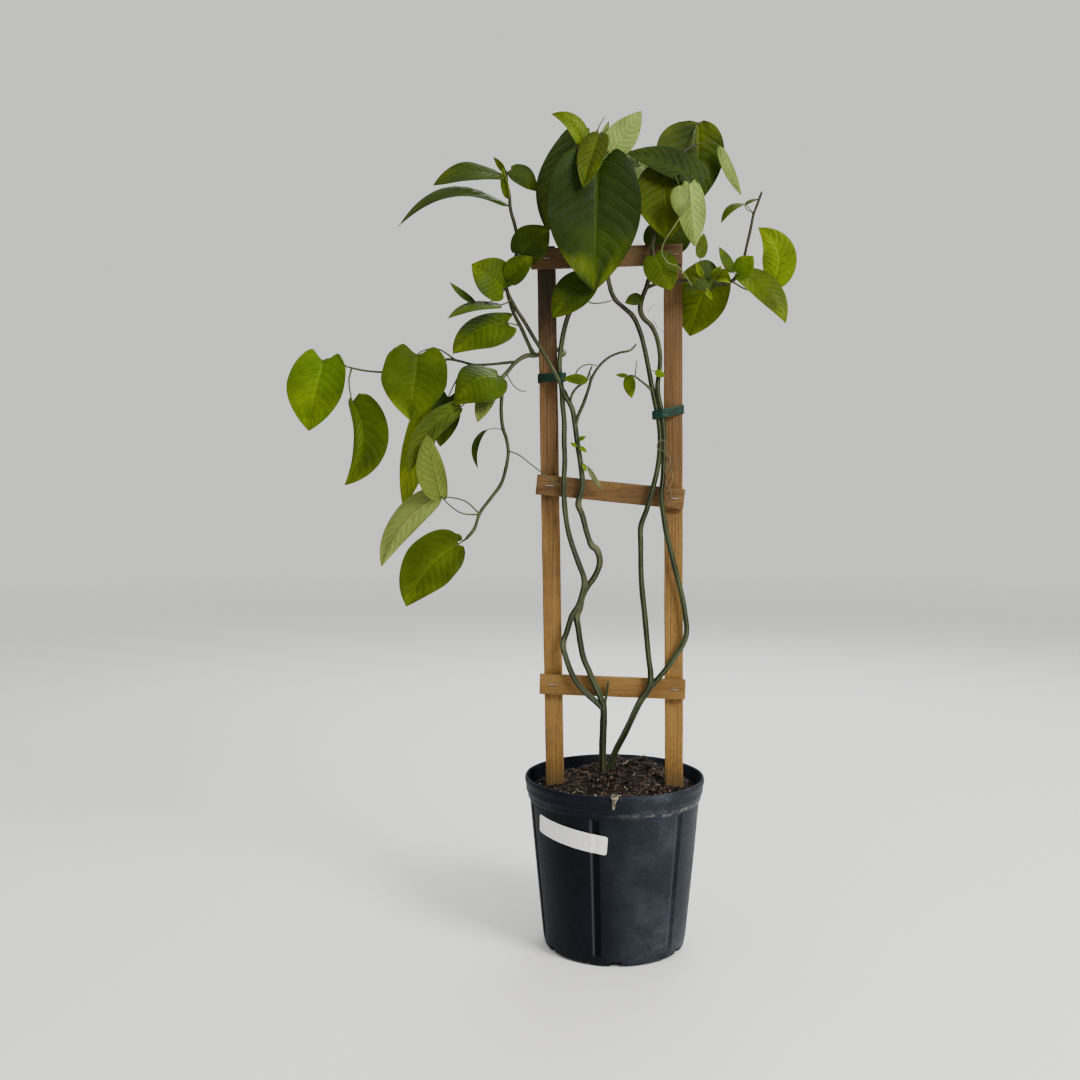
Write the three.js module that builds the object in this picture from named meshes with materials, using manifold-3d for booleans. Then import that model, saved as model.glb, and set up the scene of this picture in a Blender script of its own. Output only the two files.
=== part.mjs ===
// A potted giant granadilla: a climbing vine with winged stems and large heart-shaped leaves, tied to
// a wooden ladder trellis that stands in the soil of a black nursery pot. Millimetres, +Z up, with the
// origin at the centre of the pot's underside. The front of the plant looks along -Y.
import * as THREE from 'three';
import { mergeVertices } from 'three/addons/utils/BufferGeometryUtils.js';
import Module from 'manifold-3d';

const wasm = await Module();
wasm.setup();

// Driving dimensions

const GAP = 0.3; // clearance that touching pieces keep
const SPRAY_GAP = 0.4;
const POT_HEIGHT = 216;
const RIM_RADIUS = 114;
const FOOT_RADIUS = 84;
const WALL = 2.6;
const FLOOR = 3;
const GROOVES = 6;
const GROOVE_TURN = -12; // degrees from the front to the first groove
const GROOVE_DEEP = 1.6;
const DRAIN_TURN = 62;
const DRAIN = { wide: 14, high: 8, reach: 16, radius: FOOT_RADIUS + 2, below: 1 };

const SOIL_EDGE = 196; // height of the soil beside the pot wall
const MOUNDS = [
  { x: 0, y: 18, high: 20, spread: 46 },
  { x: 28, y: 92, high: 15, spread: 36 },
];

const UPRIGHT = { wide: 23, thick: 10, foot: 30, top: 883 };
const UPRIGHT_LEFT = { low: -72.8, high: -87.4 }; // x of the centre line at the foot and at the top
const UPRIGHT_RIGHT = { low: 77.2, high: 70.6 };
const CROSSBAR = { high: 25.5, thick: 7.5 };
const CROSSBARS = {
  bottom: { left: [-95, 333], right: [89, 327.5] },
  middle: { left: [-99, 586], right: [86, 567] },
  top: { left: [-106, 866], right: [82, 870] },
};
const STAPLE = { crown: 10, wire: 1.2, leg: 13, hole: 1.9, spare: 1, sunk: 0.1 };

const LABEL = { long: 101.6, high: 23, thick: 0.6, turn: -32, height: 161, slope: 7.5, cells: 12 };
const TIE = { high: 11, thick: 0.9, slack: 0.8 };
const TIES = {
  left: { height: 719, slope: 0.03, stems: [[-68.5, -11.5, 5.2]] },
  right: { height: 677, slope: 0.2, stems: [[51.6, -12, 4.6], [57.5, -13, 4.6]] },
};
const SCRAP = {
  base: [3, -95, 205.7], tip: [-1, -121.5, 197.7], wide: 13, bend: 17, face: [0, -0.3, 1], heart: 0.2,
  small: true,
};

const STEM_STEP = 24; // distance between the rings of a stem
const STALK_STEP = 22;
const STALK = { root: 2.6, tip: 1.9, small: 1.4 }; // thickness
const LEAF = {
  thick: 0.8,
  widest: 0.38, // where a leaf is widest, from its base to its tip
  neck: 0.2, // half-width at the base, as a share of the widest
  shoulder: 0.42, // what a heart-shaped base adds to that
  taper: 1.9,
  point: 0.92,
  lobe: 0.12, // how far the basal lobes sweep back, as a share of the leaf's length
  waves: 2.5, // waves along a waved margin
  narrow: 45, // a leaf under this width has two columns of faces, not four
  arched: 8, // a leaf with more bend than this has one more row of faces
};

// The plant, spray by spray. A stem thins from one thickness to the other along its path. A leaf's
// stalk starts on the stem, and its base, tip, width and the way that its upper side looks place it.
const SPRAYS = {
  vine_left: {
    stems: [
      { thick: [10.4, 9.2], path: [
        [-14, 10, 160], [-14, 9, 193], [-15, 6, 222], [-15, 0, 253], [-14, -9, 282],
        [-14, -18, 307], [-16, -20, 319]] },
      { thick: [8, 6.6], path: [
        [-14, -17, 303], [-26, -20, 315], [-43, -21, 331], [-54, -21, 349], [-62, -19, 371],
        [-65, -17, 385], [-60, -16, 401], [-54, -16, 420], [-46, -18, 433], [-41, -22, 448],
        [-38, -23, 465], [-46, -21, 489], [-54, -18, 511], [-59, -17, 529], [-63, -18, 557],
        [-64, -20, 589], [-63, -18, 614], [-64, -14, 641], [-64, -12, 664], [-66, -11, 685],
        [-67, -11, 702], [-69, -11, 719], [-70, -11, 735], [-68, -11, 757], [-64, -12, 779],
        [-59, -15, 795], [-52, -19, 809], [-42, -24, 828]] },
      { thick: [8.4, 6.8], path: [
        [-15, -18, 310], [-20, -20, 324], [-28, -19, 341], [-32, -19, 351], [-39, -17, 367],
        [-43, -15, 385], [-46, -13, 405], [-48, -11, 419], [-44, -10, 430], [-41, -10, 444],
        [-34, -11, 458], [-26, -13, 469], [-19, -14, 488], [-23, -15, 504], [-29, -15, 509],
        [-35, -15, 524], [-41, -16, 547], [-46, -18, 561], [-41, -20, 583], [-43, -18, 610],
        [-47, -16, 635], [-51, -14, 664], [-54, -13, 680], [-61, -12, 694], [-66, -12, 706]] },
      { thick: [5.2, 4], path: [
        [-13, -18, 306], [-10, -18, 322], [-8, -19, 339]] },
      { thick: [5.2, 2.4], path: [
        [-50, -14, 659], [-47, -15, 670], [-40, -17, 686], [-34, -18, 703], [-29, -18, 719],
        [-19, -18, 734], [-7, -17, 744], [5, -16, 749], [18, -15, 752], [26, -14, 760]] },
      { thick: [3.6, 2.4], path: [
        [-57, -13, 685], [-54, -16, 698], [-47, -19, 707], [-37, -20, 714], [-32, -19, 726],
        [-29, -19, 733]] },
      { thick: [1.8, 1.4], path: [
        [-50, -20, 718], [-48, -22, 726], [-39, -23, 733], [-29, -22, 734], [-21, -19, 732]] },
    ],
    leaves: [
      // tie leaf
      { stalk: [-32, -19, 725], base: [-35, -24, 714], tip: [-65, -28, 716], wide: 16,
        face: [0, -0.8, 0.5], bend: 2, small: 1 },
      // pale bract
      { stalk: [-43, -18, 612], base: [-34, -22, 607], tip: [-16, -24, 579], wide: 7,
        face: [-0.5, -0.8, 0.3], bend: 2, small: 1 },
    ],
  },
  vine_right: {
    stems: [
      { thick: [10, 8.8], path: [
        [-7, 26, 156], [-7, 25, 189], [-6, 21, 219], [2, 12, 244], [12, 2, 266], [20, -7, 285],
        [26, -14, 300], [33, -19, 315], [42, -20, 328], [48, -20, 339]] },
      { thick: [7.6, 6], path: [
        [42, -20, 328], [45, -20, 345], [42, -18, 372], [38, -15, 416], [33, -14, 466],
        [32, -14, 510], [32, -15, 533], [39, -18, 554], [46, -21, 579], [52, -19, 604],
        [55, -16, 629], [55, -13, 653], [51, -12, 678], [47, -12, 697], [43, -12, 718],
        [36, -12, 753], [30, -13, 775], [21, -15, 794], [10, -17, 804], [-1, -20, 814],
        [-9, -24, 831]] },
      { thick: [7.6, 6], path: [
        [46, -19, 333], [63, -17, 353], [77, -14, 372], [87, -13, 389], [90, -13, 402],
        [88, -13, 422], [84, -13, 445], [77, -13, 472], [69, -14, 504], [63, -15, 529],
        [59, -18, 554], [57, -20, 573], [59, -19, 594], [60, -15, 622], [60, -13, 651],
        [57, -13, 678], [53, -13, 697], [52, -13, 709], [54, -12, 725], [55, -12, 744],
        [51, -12, 767], [44, -13, 782], [34, -14, 792], [30, -17, 802], [32, -20, 814],
        [37, -23, 827], [41, -25, 841]] },
      { thick: [4.4, 2.4], path: [
        [45, -12, 702], [39, -15, 708], [31, -18, 714], [24, -20, 719], [18, -21, 721]] },
      { thick: [1.8, 1.2], path: [
        [24, -20, 719], [25, -22, 729], [26, -23, 739]] },
    ],
    leaves: [
      // small left
      { stalk: [19, -21, 721], base: [16, -22, 720], tip: [20, -28, 692], wide: 16,
        face: [-0.3, -1, 0.2], bend: 2, small: 1 },
      // small left tip
      { stalk: [18, -21, 721], base: [15, -22, 720], tip: [0, -24, 721], wide: 7, face: [0, -0.8, 0.5],
        small: 1 },
      // bright bud
      { stalk: [42, -12, 725], base: [49, -17, 726], tip: [61, -18, 719], wide: 10,
        face: [0.2, -1, 0.3], small: 1 },
      // under bar
      { stalk: [32, -20, 812], base: [32, -24, 816], tip: [11, -30, 808], wide: 17,
        face: [0.1, -1, 0.4], bend: 1, small: 1 },
    ],
  },
  shoot_left_upper: {
    from: ['vine_left'],
    stems: [
      { thick: [6, 4.8], path: [
        [-68, -11, 746], [-65, -2, 750], [-69, 9, 755], [-81, 14, 756], [-95, 15, 751],
        [-103, 7, 750], [-110, -2, 763], [-118, -8, 781], [-127, -14, 799], [-135, -24, 825]] },
      { thick: [5.2, 4.4], path: [
        [-62, -13, 693], [-65, -18, 702], [-70, -22, 714], [-78, -22, 729], [-88, -19, 746],
        [-100, -18, 765], [-113, -20, 787], [-124, -22, 804], [-134, -25, 824], [-136, -26, 837],
        [-129, -26, 854], [-122, -24, 873], [-122, -23, 890], [-125, -22, 906], [-130, -22, 924],
        [-132, -22, 943], [-135, -22, 958], [-136, -22, 973]] },
    ],
    leaves: [
      // dolphin
      { stalk: [-118, -8, 781], base: [-133, -26, 785], tip: [-199, -46, 746], wide: 54,
        face: [-0.1, -0.8, 0.6], heart: 1, bend: 8, sway: 7, fold: -10, left: 1.2 },
      // high blade
      { stalk: [-135, -22, 958], base: [-142, -26, 965], tip: [-222, -50, 949], wide: 42,
        face: [0, -0.62, 0.8], heart: 0.3, bend: 11, twist: -18 },
      // high right
      { stalk: [-135, -22, 963], base: [-130, -20, 973], tip: [-98, -8, 950], wide: 36,
        face: [0.2, -0.85, 0.6], heart: 0.4, bend: 6 },
      // arching
      { stalk: [-130, -22, 927], base: [-137, -26, 931], tip: [-263, -62, 897], wide: 50,
        face: [0, -0.5, 1], heart: 0.3, bend: 34, fold: -14 },
      // young tip
      { stalk: [-136, -22, 966], base: [-137, -22, 971], tip: [-151, -27, 988], wide: 11,
        face: [-0.7, -0.6, 0.1], bend: -2, fold: 20, small: 1 },
      // young left
      { stalk: [-131, -22, 930], base: [-133, -24, 938], tip: [-139, -28, 974], wide: 12,
        face: [-0.5, -0.8, 0], bend: 1.5, fold: 20, small: 1 },
      // upright leaf
      { stalk: [-122, -24, 873], base: [-118, -33, 867], tip: [-82, -36, 900], wide: 50,
        face: [-0.1, -1, 0.25], heart: 0.8, bend: 4 },
      // face leaf
      { stalk: [-135, -26, 832], base: [-138, -30, 826], tip: [-176, -44, 855], wide: 52,
        face: [0.1, -1, 0.3], heart: 0.8, bend: 8, fold: 6 },
      // node leaf
      { stalk: [-135, -26, 839], base: [-131, -36, 836], tip: [-101, -42, 863], wide: 33,
        face: [0.25, -0.9, 0.5], heart: 0.3, bend: 6, fold: 12 },
      // side narrow
      { stalk: [-129, -24, 815], base: [-145, -30, 807], tip: [-205, -50, 788], wide: 34,
        face: [0, -0.5, 0.9], heart: 0.4, bend: 9, fold: -8 },
      // side spur
      { stalk: [-135, -25, 828], base: [-173, -38, 809], tip: [-203, -46, 833], wide: 12,
        face: [0.3, -0.6, 0.4], bend: -2, small: 1 },
    ],
  },
  shoot_left_lower: {
    from: ['shoot_left_upper'],
    stems: [
      { thick: [5.6, 4.4], path: [
        [-96, 14, 750], [-103, 6, 748], [-112, -5, 747], [-124, -12, 739], [-134, -17, 727],
        [-141, -21, 717], [-141, -23, 701], [-142, -25, 678], [-140, -26, 657], [-135, -27, 641],
        [-133, -28, 625], [-136, -29, 605], [-142, -30, 586], [-155, -32, 568], [-168, -34, 550],
        [-175, -36, 530], [-187, -38, 516]] },
      { thick: [1.8, 1.2], path: [
        [-135, -18, 722], [-127, -23, 709], [-118, -26, 702], [-110, -27, 701]] },
      { thick: [2, 1.4], path: [
        [-134, -28, 628], [-119, -30, 622], [-106, -30, 612], [-92, -28, 601], [-79, -25, 591],
        [-70, -22, 585]] },
    ],
    leaves: [
      // hood
      { stalk: [-138, -19, 721], base: [-144, -26, 720], tip: [-198, -44, 684], wide: 72,
        face: [-0.15, -0.9, 0.6], heart: 0.6, bend: 18, fold: -12 },
      // hood under
      { stalk: [-140, -21, 718], base: [-149, -34, 711], tip: [-169, -50, 662], wide: 32,
        face: [0.3, 0.8, 0.2], heart: 0.5, bend: 3, right: 0.55 },
      // veined under
      { stalk: [-169, -34, 548], base: [-214, -52, 572], tip: [-229, -62, 647], wide: 46,
        face: [-0.25, 0.9, 0.1], heart: 0.6, bend: 4, fold: 6, left: 0.55 },
      // long under
      { stalk: [-168, -34, 549], base: [-219, -50, 570], tip: [-287, -58, 485], wide: 52,
        face: [0.45, 0.75, 0.35], heart: 0.5, bend: 6, sway: -13, fold: 24, right: 0.6 },
      // low leaf
      { stalk: [-184, -38, 519], base: [-194, -39, 512], tip: [-258, -50, 435], wide: 70,
        face: [-0.1, -1, 0.1], heart: 0.35, bend: 4, sway: 9, fold: 4, wave: 1.5, left: 0.9 },
      // low stipule
      { stalk: [-187, -38, 516], base: [-191, -33, 517], tip: [-203, -31, 524], wide: 9,
        face: [0, -1, 0.2], small: 1 },
      // curled
      { stalk: [-138, -26, 652], base: [-159, -32, 653], tip: [-169, -40, 605], wide: 18,
        face: [-0.8, -0.6, 0.3], bend: 9, fold: 15, small: 1 },
    ],
  },
  shoot_far_left: {
    from: ['shoot_left_lower'],
    stems: [
      { thick: [4, 2.6], path: [
        [-124, -12, 739], [-142, -4, 738], [-160, 2, 737], [-180, 4, 737], [-196, 0, 741],
        [-210, -5, 743], [-234, -6, 739], [-262, -5, 731], [-289, -12, 727], [-313, -20, 728],
        [-334, -30, 732]] },
    ],
    leaves: [
      // far heart
      { stalk: [-334, -30, 732], base: [-360, -44, 739], tip: [-378, -52, 652], wide: 76,
        face: [-0.15, -1, 0.2], heart: 1, bend: 5, fold: 8 },
      // far side
      { stalk: [-329, -27, 731], base: [-326, -40, 689], tip: [-334, -50, 585], wide: 66,
        face: [0.45, -1, 0.1], heart: 0.4, bend: 6, sway: -16, fold: 22, right: 0.4 },
      // cluster heart
      { stalk: [-201, -2, 742], base: [-243, -44, 746], tip: [-251, -50, 665], wide: 82,
        face: [0.05, -1, 0.15], heart: 1, bend: 6, fold: 6, wave: 2 },
      // cluster yellow
      { stalk: [-214, -5, 742], base: [-242, 14, 688], tip: [-271, 4, 557], wide: 60,
        face: [-0.35, -1, 0], heart: 0.5, bend: 5, fold: 10, right: 0.55 },
      // cluster under
      { stalk: [-170, 3, 737], base: [-192, -40, 680], tip: [-254, -51, 599], wide: 30,
        face: [0.2, -1, 0.45], heart: 0.3, bend: 2, sway: 13, fold: 14 },
      // cluster dark
      { stalk: [-184, 3, 738], base: [-210, -8, 696], tip: [-220, -16, 633], wide: 38,
        face: [0.1, -1, 0.1], heart: 0.7, bend: 4, fold: 8 },
    ],
  },
  crown_left: {
    from: ['vine_left'],
    stems: [
      { thick: [6.4, 3.2], path: [
        [-45, -23, 822], [-39, -25, 834], [-31, -26, 852], [-22, -26, 878], [-17, -23, 908],
        [-15, -19, 940], [-16, -17, 966], [-18, -14, 988], [-21, -14, 1005], [-24, -15, 1022]] },
      { thick: [1.6, 1.2], path: [
        [-24, -15, 1019], [-20, -17, 1028], [-14, -18, 1037]] },
      { thick: [2.4, 1.6], path: [
        [-31, -26, 852], [-35, -30, 832], [-40, -30, 817], [-32, -31, 809], [-19, -32, 808],
        [-4, -33, 811]] },
    ],
    leaves: [
      // great leaf
      { stalk: [-17, -15, 979], base: [-23, -48, 973], tip: [-26, -58, 819], wide: 112,
        face: [0.05, -1, 0.22], heart: 0.9, bend: 9, fold: 6, wave: 2.5, left: 0.96, right: 1.06 },
      // grey left
      { stalk: [-20, -14, 1002], base: [-47, -8, 1014], tip: [-85, -2, 900], wide: 74,
        face: [-0.75, -0.75, 0.35], heart: 0.9, bend: 8, fold: 6, right: 1.15 },
      // pointed
      { stalk: [-22, -14, 1012], base: [-20, -46, 1008], tip: [-39, -70, 939], wide: 36,
        face: [-0.15, -1, 0.4], heart: 0.3, bend: 4, fold: 14 },
      // young curl
      { stalk: [-21, -14, 1005], base: [-41, -34, 996], tip: [-79, -42, 1034], wide: 26,
        face: [-0.3, -0.7, 0.7], heart: 0.3, bend: 6, sway: 8, fold: 14 },
      // pale fold
      { stalk: [-18, -14, 988], base: [-10, -42, 988], tip: [30, -38, 1037], wide: 38,
        face: [-0.3, 0.8, 0.1], heart: 0.3, bend: 4, sway: -3, fold: 10 },
      // folded young
      { stalk: [-20, -14, 998], base: [-17, -38, 983], tip: [-9, -34, 1027], wide: 16,
        face: [-0.4, 0.8, 0.1], bend: 2, fold: 25, small: 1 },
      // under crown
      { stalk: [-31, -26, 852], base: [-33, -36, 836], tip: [-77, -44, 789], wide: 48,
        face: [-0.2, -1, 0.2], heart: 0.6, bend: 5, fold: 12 },
    ],
  },
  crown_right: {
    from: ['vine_right'],
    stems: [
      { thick: [6, 3.6], path: [
        [40, -25, 839], [42, -26, 851], [43, -27, 863], [45, -26, 881], [50, -22, 907],
        [56, -15, 935], [63, -8, 959], [69, -2, 977], [78, 6, 993], [89, 13, 1004],
        [101, 18, 1011]] },
    ],
    leaves: [
      // high right leaf
      { stalk: [94, 15, 1007], base: [104, 36, 1043], tip: [103, 24, 940], wide: 86,
        face: [0.05, -1, 0.3], heart: 0.4, bend: 4, fold: 5, left: 0.74, right: 1.26 },
      // dark gloss
      { stalk: [64, -7, 963], base: [105, -27, 956], tip: [11, -20, 992], wide: 56,
        face: [-0.05, -0.87, 0.5], heart: 0.5, bend: 6, left: 0.6 },
      // olive leaf
      { stalk: [58, -13, 941], base: [58, -18, 967], tip: [63, -31, 884], wide: 72,
        face: [-0.05, -1, 0.1], heart: 0.9, bend: 4, fold: 6 },
      // pale droop
      { stalk: [63, -8, 959], base: [88, -52, 946], tip: [94, -60, 870], wide: 34, face: [0.1, 1, 0.2],
        heart: 0.5, bend: 3, fold: 8 },
      // pale inner
      { stalk: [64, -7, 961], base: [75, -52, 944], tip: [76, -58, 906], wide: 22, face: [0.1, 1, 0.1],
        fold: 8, small: 1 },
      // pale right
      { stalk: [100, 17, 1010], base: [128, 14, 1007], tip: [155, 2, 943], wide: 15,
        face: [-0.3, 0.9, 0.3], bend: 3, small: 1 },
      // bar leaf
      { stalk: [45, -26, 878], base: [47, -36, 864], tip: [67, -44, 821], wide: 42,
        face: [-0.1, -1, 0.3], heart: 0.6, bend: 3 },
      // back of bar
      { stalk: [51, -20, 913], base: [65, 14, 912], tip: [61, 24, 867], wide: 60, face: [0.1, -1, 0.3],
        heart: 0.7, bend: 4 },
    ],
  },
  crown_back: {
    from: ['vine_right'],
    stems: [
      { thick: [6.4, 3.6], path: [
        [-6, -23, 825], [-9, -25, 836], [-11, -27, 854], [-10, -27, 878], [-4, -24, 908],
        [3, -19, 938], [10, -14, 961], [14, -6, 977], [19, 6, 992], [17, 18, 1005]] },
    ],
    leaves: [
      // back a
      { stalk: [12, -9, 970], base: [-5, 30, 964], tip: [-31, 70, 875], wide: 90,
        face: [-0.2, 0.9, 0.45], heart: 0.9, bend: 10, fold: 6 },
      // back b
      { stalk: [19, 7, 994], base: [30, 36, 990], tip: [94, 78, 937], wide: 84, face: [0.3, 0.8, 0.6],
        heart: 0.9, bend: 12, fold: 6 },
      // back c
      { stalk: [17, 18, 1005], base: [7, 38, 1001], tip: [-56, 86, 964], wide: 80,
        face: [-0.35, 0.75, 0.6], heart: 0.9, bend: 12, fold: 6 },
      // back d
      { stalk: [17, 17, 1003], base: [22, 44, 1006], tip: [32, 118, 1002], wide: 76,
        face: [0.05, 0.35, 1], heart: 0.8, bend: 14, fold: 5 },
    ],
  },
  shoot_right: {
    from: ['vine_right'],
    stems: [
      { thick: [4.8, 3.2], path: [
        [37, -23, 827], [46, -21, 831], [57, -17, 835], [73, -16, 836], [91, -14, 837],
        [113, -14, 833], [132, -16, 832], [147, -20, 839], [155, -22, 858], [160, -23, 880],
        [164, -23, 898], [167, -23, 914], [172, -24, 928], [177, -25, 942]] },
    ],
    leaves: [
      // cluster behind
      { stalk: [125, -15, 832], base: [121, -21, 836], tip: [86, -27, 847], wide: 42,
        face: [0.1, -1, 0.3], heart: 0.7, bend: 4 },
      // cluster round
      { stalk: [108, -14, 834], base: [118, 2, 849], tip: [93, 12, 772], wide: 72,
        face: [-0.35, -1, 0.1], heart: 0.9, bend: 6, fold: 6 },
      // little oval
      { stalk: [104, -14, 835], base: [104, -10, 865], tip: [108, -12, 895], wide: 15,
        face: [0.1, -1, 0.3], small: 1 },
      // bright kidney
      { stalk: [140, -18, 836], base: [192, -17, 831], tip: [173, -22, 899], wide: 42,
        face: [-0.1, -1, 0.25], heart: 0.2, bend: 3, sway: 16 },
      // hook leaf
      { stalk: [144, -19, 838], base: [152, -25, 843], tip: [205, -42, 780], wide: 48,
        face: [0.25, -0.75, 0.65], heart: 0.4, bend: 9, sway: -3, fold: 6 },
      // ribbed leaf
      { stalk: [148, -20, 842], base: [148, -38, 841], tip: [165, -48, 860], wide: 28,
        face: [-0.2, -1, 0.3], heart: 0.6, bend: 2 },
      // narrow left
      { stalk: [148, -20, 842], base: [143, -24, 845], tip: [125, -30, 875], wide: 15,
        face: [0.3, -0.9, 0.2], small: 1 },
      // small high
      { stalk: [167, -23, 914], base: [154, -26, 927], tip: [127, -36, 902], wide: 16,
        face: [-0.1, -0.5, 0.8], bend: 7, small: 1 },
      // small high right
      { stalk: [168, -23, 917], base: [157, -21, 927], tip: [175, -18, 934], wide: 9,
        face: [0, -0.5, 0.8], bend: 2, small: 1 },
    ],
  },
};

const COLOURS = {
  pot: { color: 0x282c36, roughness: 0.5, metalness: 0 },
  soil: { color: 0x3a2c24, roughness: 0.95, metalness: 0 },
  wood: { color: 0x96692f, roughness: 0.75, metalness: 0 },
  staple: { color: 0x8c8f94, roughness: 0.35, metalness: 1 },
  label: { color: 0xe9e8e2, roughness: 0.6, metalness: 0 },
  tie: { color: 0x0f4637, roughness: 0.4, metalness: 0 },
  scrap: { color: 0xa09678, roughness: 0.9, metalness: 0 },
  stem: { color: 0x4b5a34, roughness: 0.6, metalness: 0 },
  leaf: { color: 0x3c5a05, roughness: 0.45, metalness: 0 },
};

const radians = THREE.MathUtils.degToRad;
const vector = (xyz) => new THREE.Vector3(...xyz);

// A repeatable random number from 0 to 1
let seed = 7;
function random() {
  seed = (seed * 16807) % 2147483647;
  return seed / 2147483647;
}

// Solids

function solidFromMesh(points, triangles) {
  const mesh = new wasm.Mesh({
    numProp: 3,
    vertProperties: new Float32Array(points.flatMap((point) => [point.x, point.y, point.z])),
    triVerts: new Uint32Array(triangles.flat()),
  });
  return new wasm.Manifold(mesh);
}

function solidFromGeometry(geometry) {
  geometry.deleteAttribute('normal');
  geometry.deleteAttribute('uv');
  const merged = mergeVertices(geometry, 1e-4);
  const mesh = new wasm.Mesh({
    numProp: 3,
    vertProperties: new Float32Array(merged.attributes.position.array),
    triVerts: new Uint32Array(merged.index.array),
  });
  return new wasm.Manifold(mesh);
}

function join(solids) {
  return solids.reduce((whole, solid) => whole.add(solid));
}

// Keeps the one body that a cut leaves, without the scraps beside it
function largest(solid) {
  return solid.decompose().reduce((best, part) => (part.volume() > best.volume() ? part : best));
}

// Skins closed rings of points, from the first ring's middle to the last one's
function solidFromRings(rings) {
  const sides = rings[0].length;
  const middle = (ring) => ring.reduce((sum, point) => sum.add(point), new THREE.Vector3()).divideScalar(sides);
  const points = [...rings.flat(), middle(rings[0]), middle(rings[rings.length - 1])];
  const start = points.length - 2;
  const end = points.length - 1;
  const lastRing = (rings.length - 1) * sides;
  const triangles = [];
  for (let side = 0; side < sides; side += 1) {
    const next = (side + 1) % sides;
    triangles.push([start, next, side], [end, lastRing + side, lastRing + next]);
    for (let ring = 0; ring < lastRing; ring += sides) {
      triangles.push([ring + side, ring + next, ring + sides + next]);
      triangles.push([ring + side, ring + sides + next, ring + sides + side]);
    }
  }
  return solidFromMesh(points, triangles);
}

// A four-angled tube along a smooth curve, thinning from one thickness to the other
function tube(path, thick, step, sides = 4, extra = 0) {
  const curve = new THREE.CatmullRomCurve3(path.map(vector), false, 'centripetal');
  const count = Math.max(2, Math.round(curve.getLength() / step));
  const frames = curve.computeFrenetFrames(count, false);
  const rings = [];
  for (let ring = 0; ring <= count; ring += 1) {
    const along = ring / count;
    const centre = curve.getPointAt(along);
    const radius = THREE.MathUtils.lerp(thick[0], thick[1], along) / 2 + extra;
    rings.push(Array.from({ length: sides }, (_, side) => {
      const turn = (2 * Math.PI * side) / sides;
      return centre.clone()
        .addScaledVector(frames.normals[ring], Math.cos(turn) * radius)
        .addScaledVector(frames.binormals[ring], Math.sin(turn) * radius);
    }));
  }
  return solidFromRings(rings);
}

// Leaves

const BLUNT = 0.02; // half-width left at the tip, as a share of the widest
const SWEEP = 3.6; // with OUTER, gives the lobes' sweep a peak of one between midrib and margin
const OUTER = 0.9;

// Half-width of a leaf from its base (0) to its tip (1), as a share of the widest half
function leafOutline(along, heart) {
  const base = LEAF.neck + LEAF.shoulder * heart;
  if (along < LEAF.widest) {
    const rise = 1 - along / LEAF.widest;
    return base + (1 - base) * Math.sqrt(1 - rise * rise);
  }
  const fall = Math.min(1, (along - LEAF.widest) / (1 - LEAF.widest));
  return Math.max(BLUNT, (1 - fall ** LEAF.taper) ** LEAF.point);
}

// The midrib runs from base to tip over an arc that rises `bend` towards the upper side and swings
// `sway` to the right. Each half stands up from it by `fold` degrees, the basal lobes sweep back, and
// the margin waves. The upper side looks towards `face`.
function leafPoint(leaf, along, across) {
  const { heart = 0, bend = 0, sway = 0, fold = 0, twist = 0, wave = 0, left = 1, right = 1 } = leaf;
  const base = vector(leaf.base);
  const chord = vector(leaf.tip).sub(base);
  const length = chord.length();
  const ahead = chord.clone().divideScalar(length);
  const up = vector(leaf.face).addScaledVector(ahead, -vector(leaf.face).dot(ahead)).normalize();
  const side = ahead.clone().cross(up);
  const arch = 4 * along * (1 - along);
  const slope = 4 * (1 - 2 * along) / length;
  const forward = ahead.clone()
    .addScaledVector(up, bend * slope)
    .addScaledVector(side, sway * slope)
    .normalize();
  const lift = up.clone().addScaledVector(forward, -up.dot(forward)).normalize();
  lift.applyAxisAngle(forward, radians(twist * along));
  const out = forward.clone().cross(lift);
  const reach = (leaf.wide / 2) * leafOutline(along, heart) * (across < 0 ? left : right);
  const lobe = SWEEP * (across ** 2 - OUTER * across ** 4) * Math.max(0, 1 - along / LEAF.widest) ** 2;
  const backward = LEAF.lobe * heart * length * lobe;
  const phase = LEAF.waves * along + (across < 0 ? 0.5 : 0.1);
  const ripple = wave * Math.sin(2 * Math.PI * phase) * across * across;
  return base
    .addScaledVector(ahead, length * along - backward)
    .addScaledVector(up, bend * arch)
    .addScaledVector(side, sway * arch)
    .addScaledVector(out, reach * across * Math.cos(radians(fold)))
    .addScaledVector(lift, reach * Math.abs(across) * Math.sin(radians(fold)) + ripple);
}

const NEAR = 0.01; // step along and across a leaf for its slopes

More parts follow.
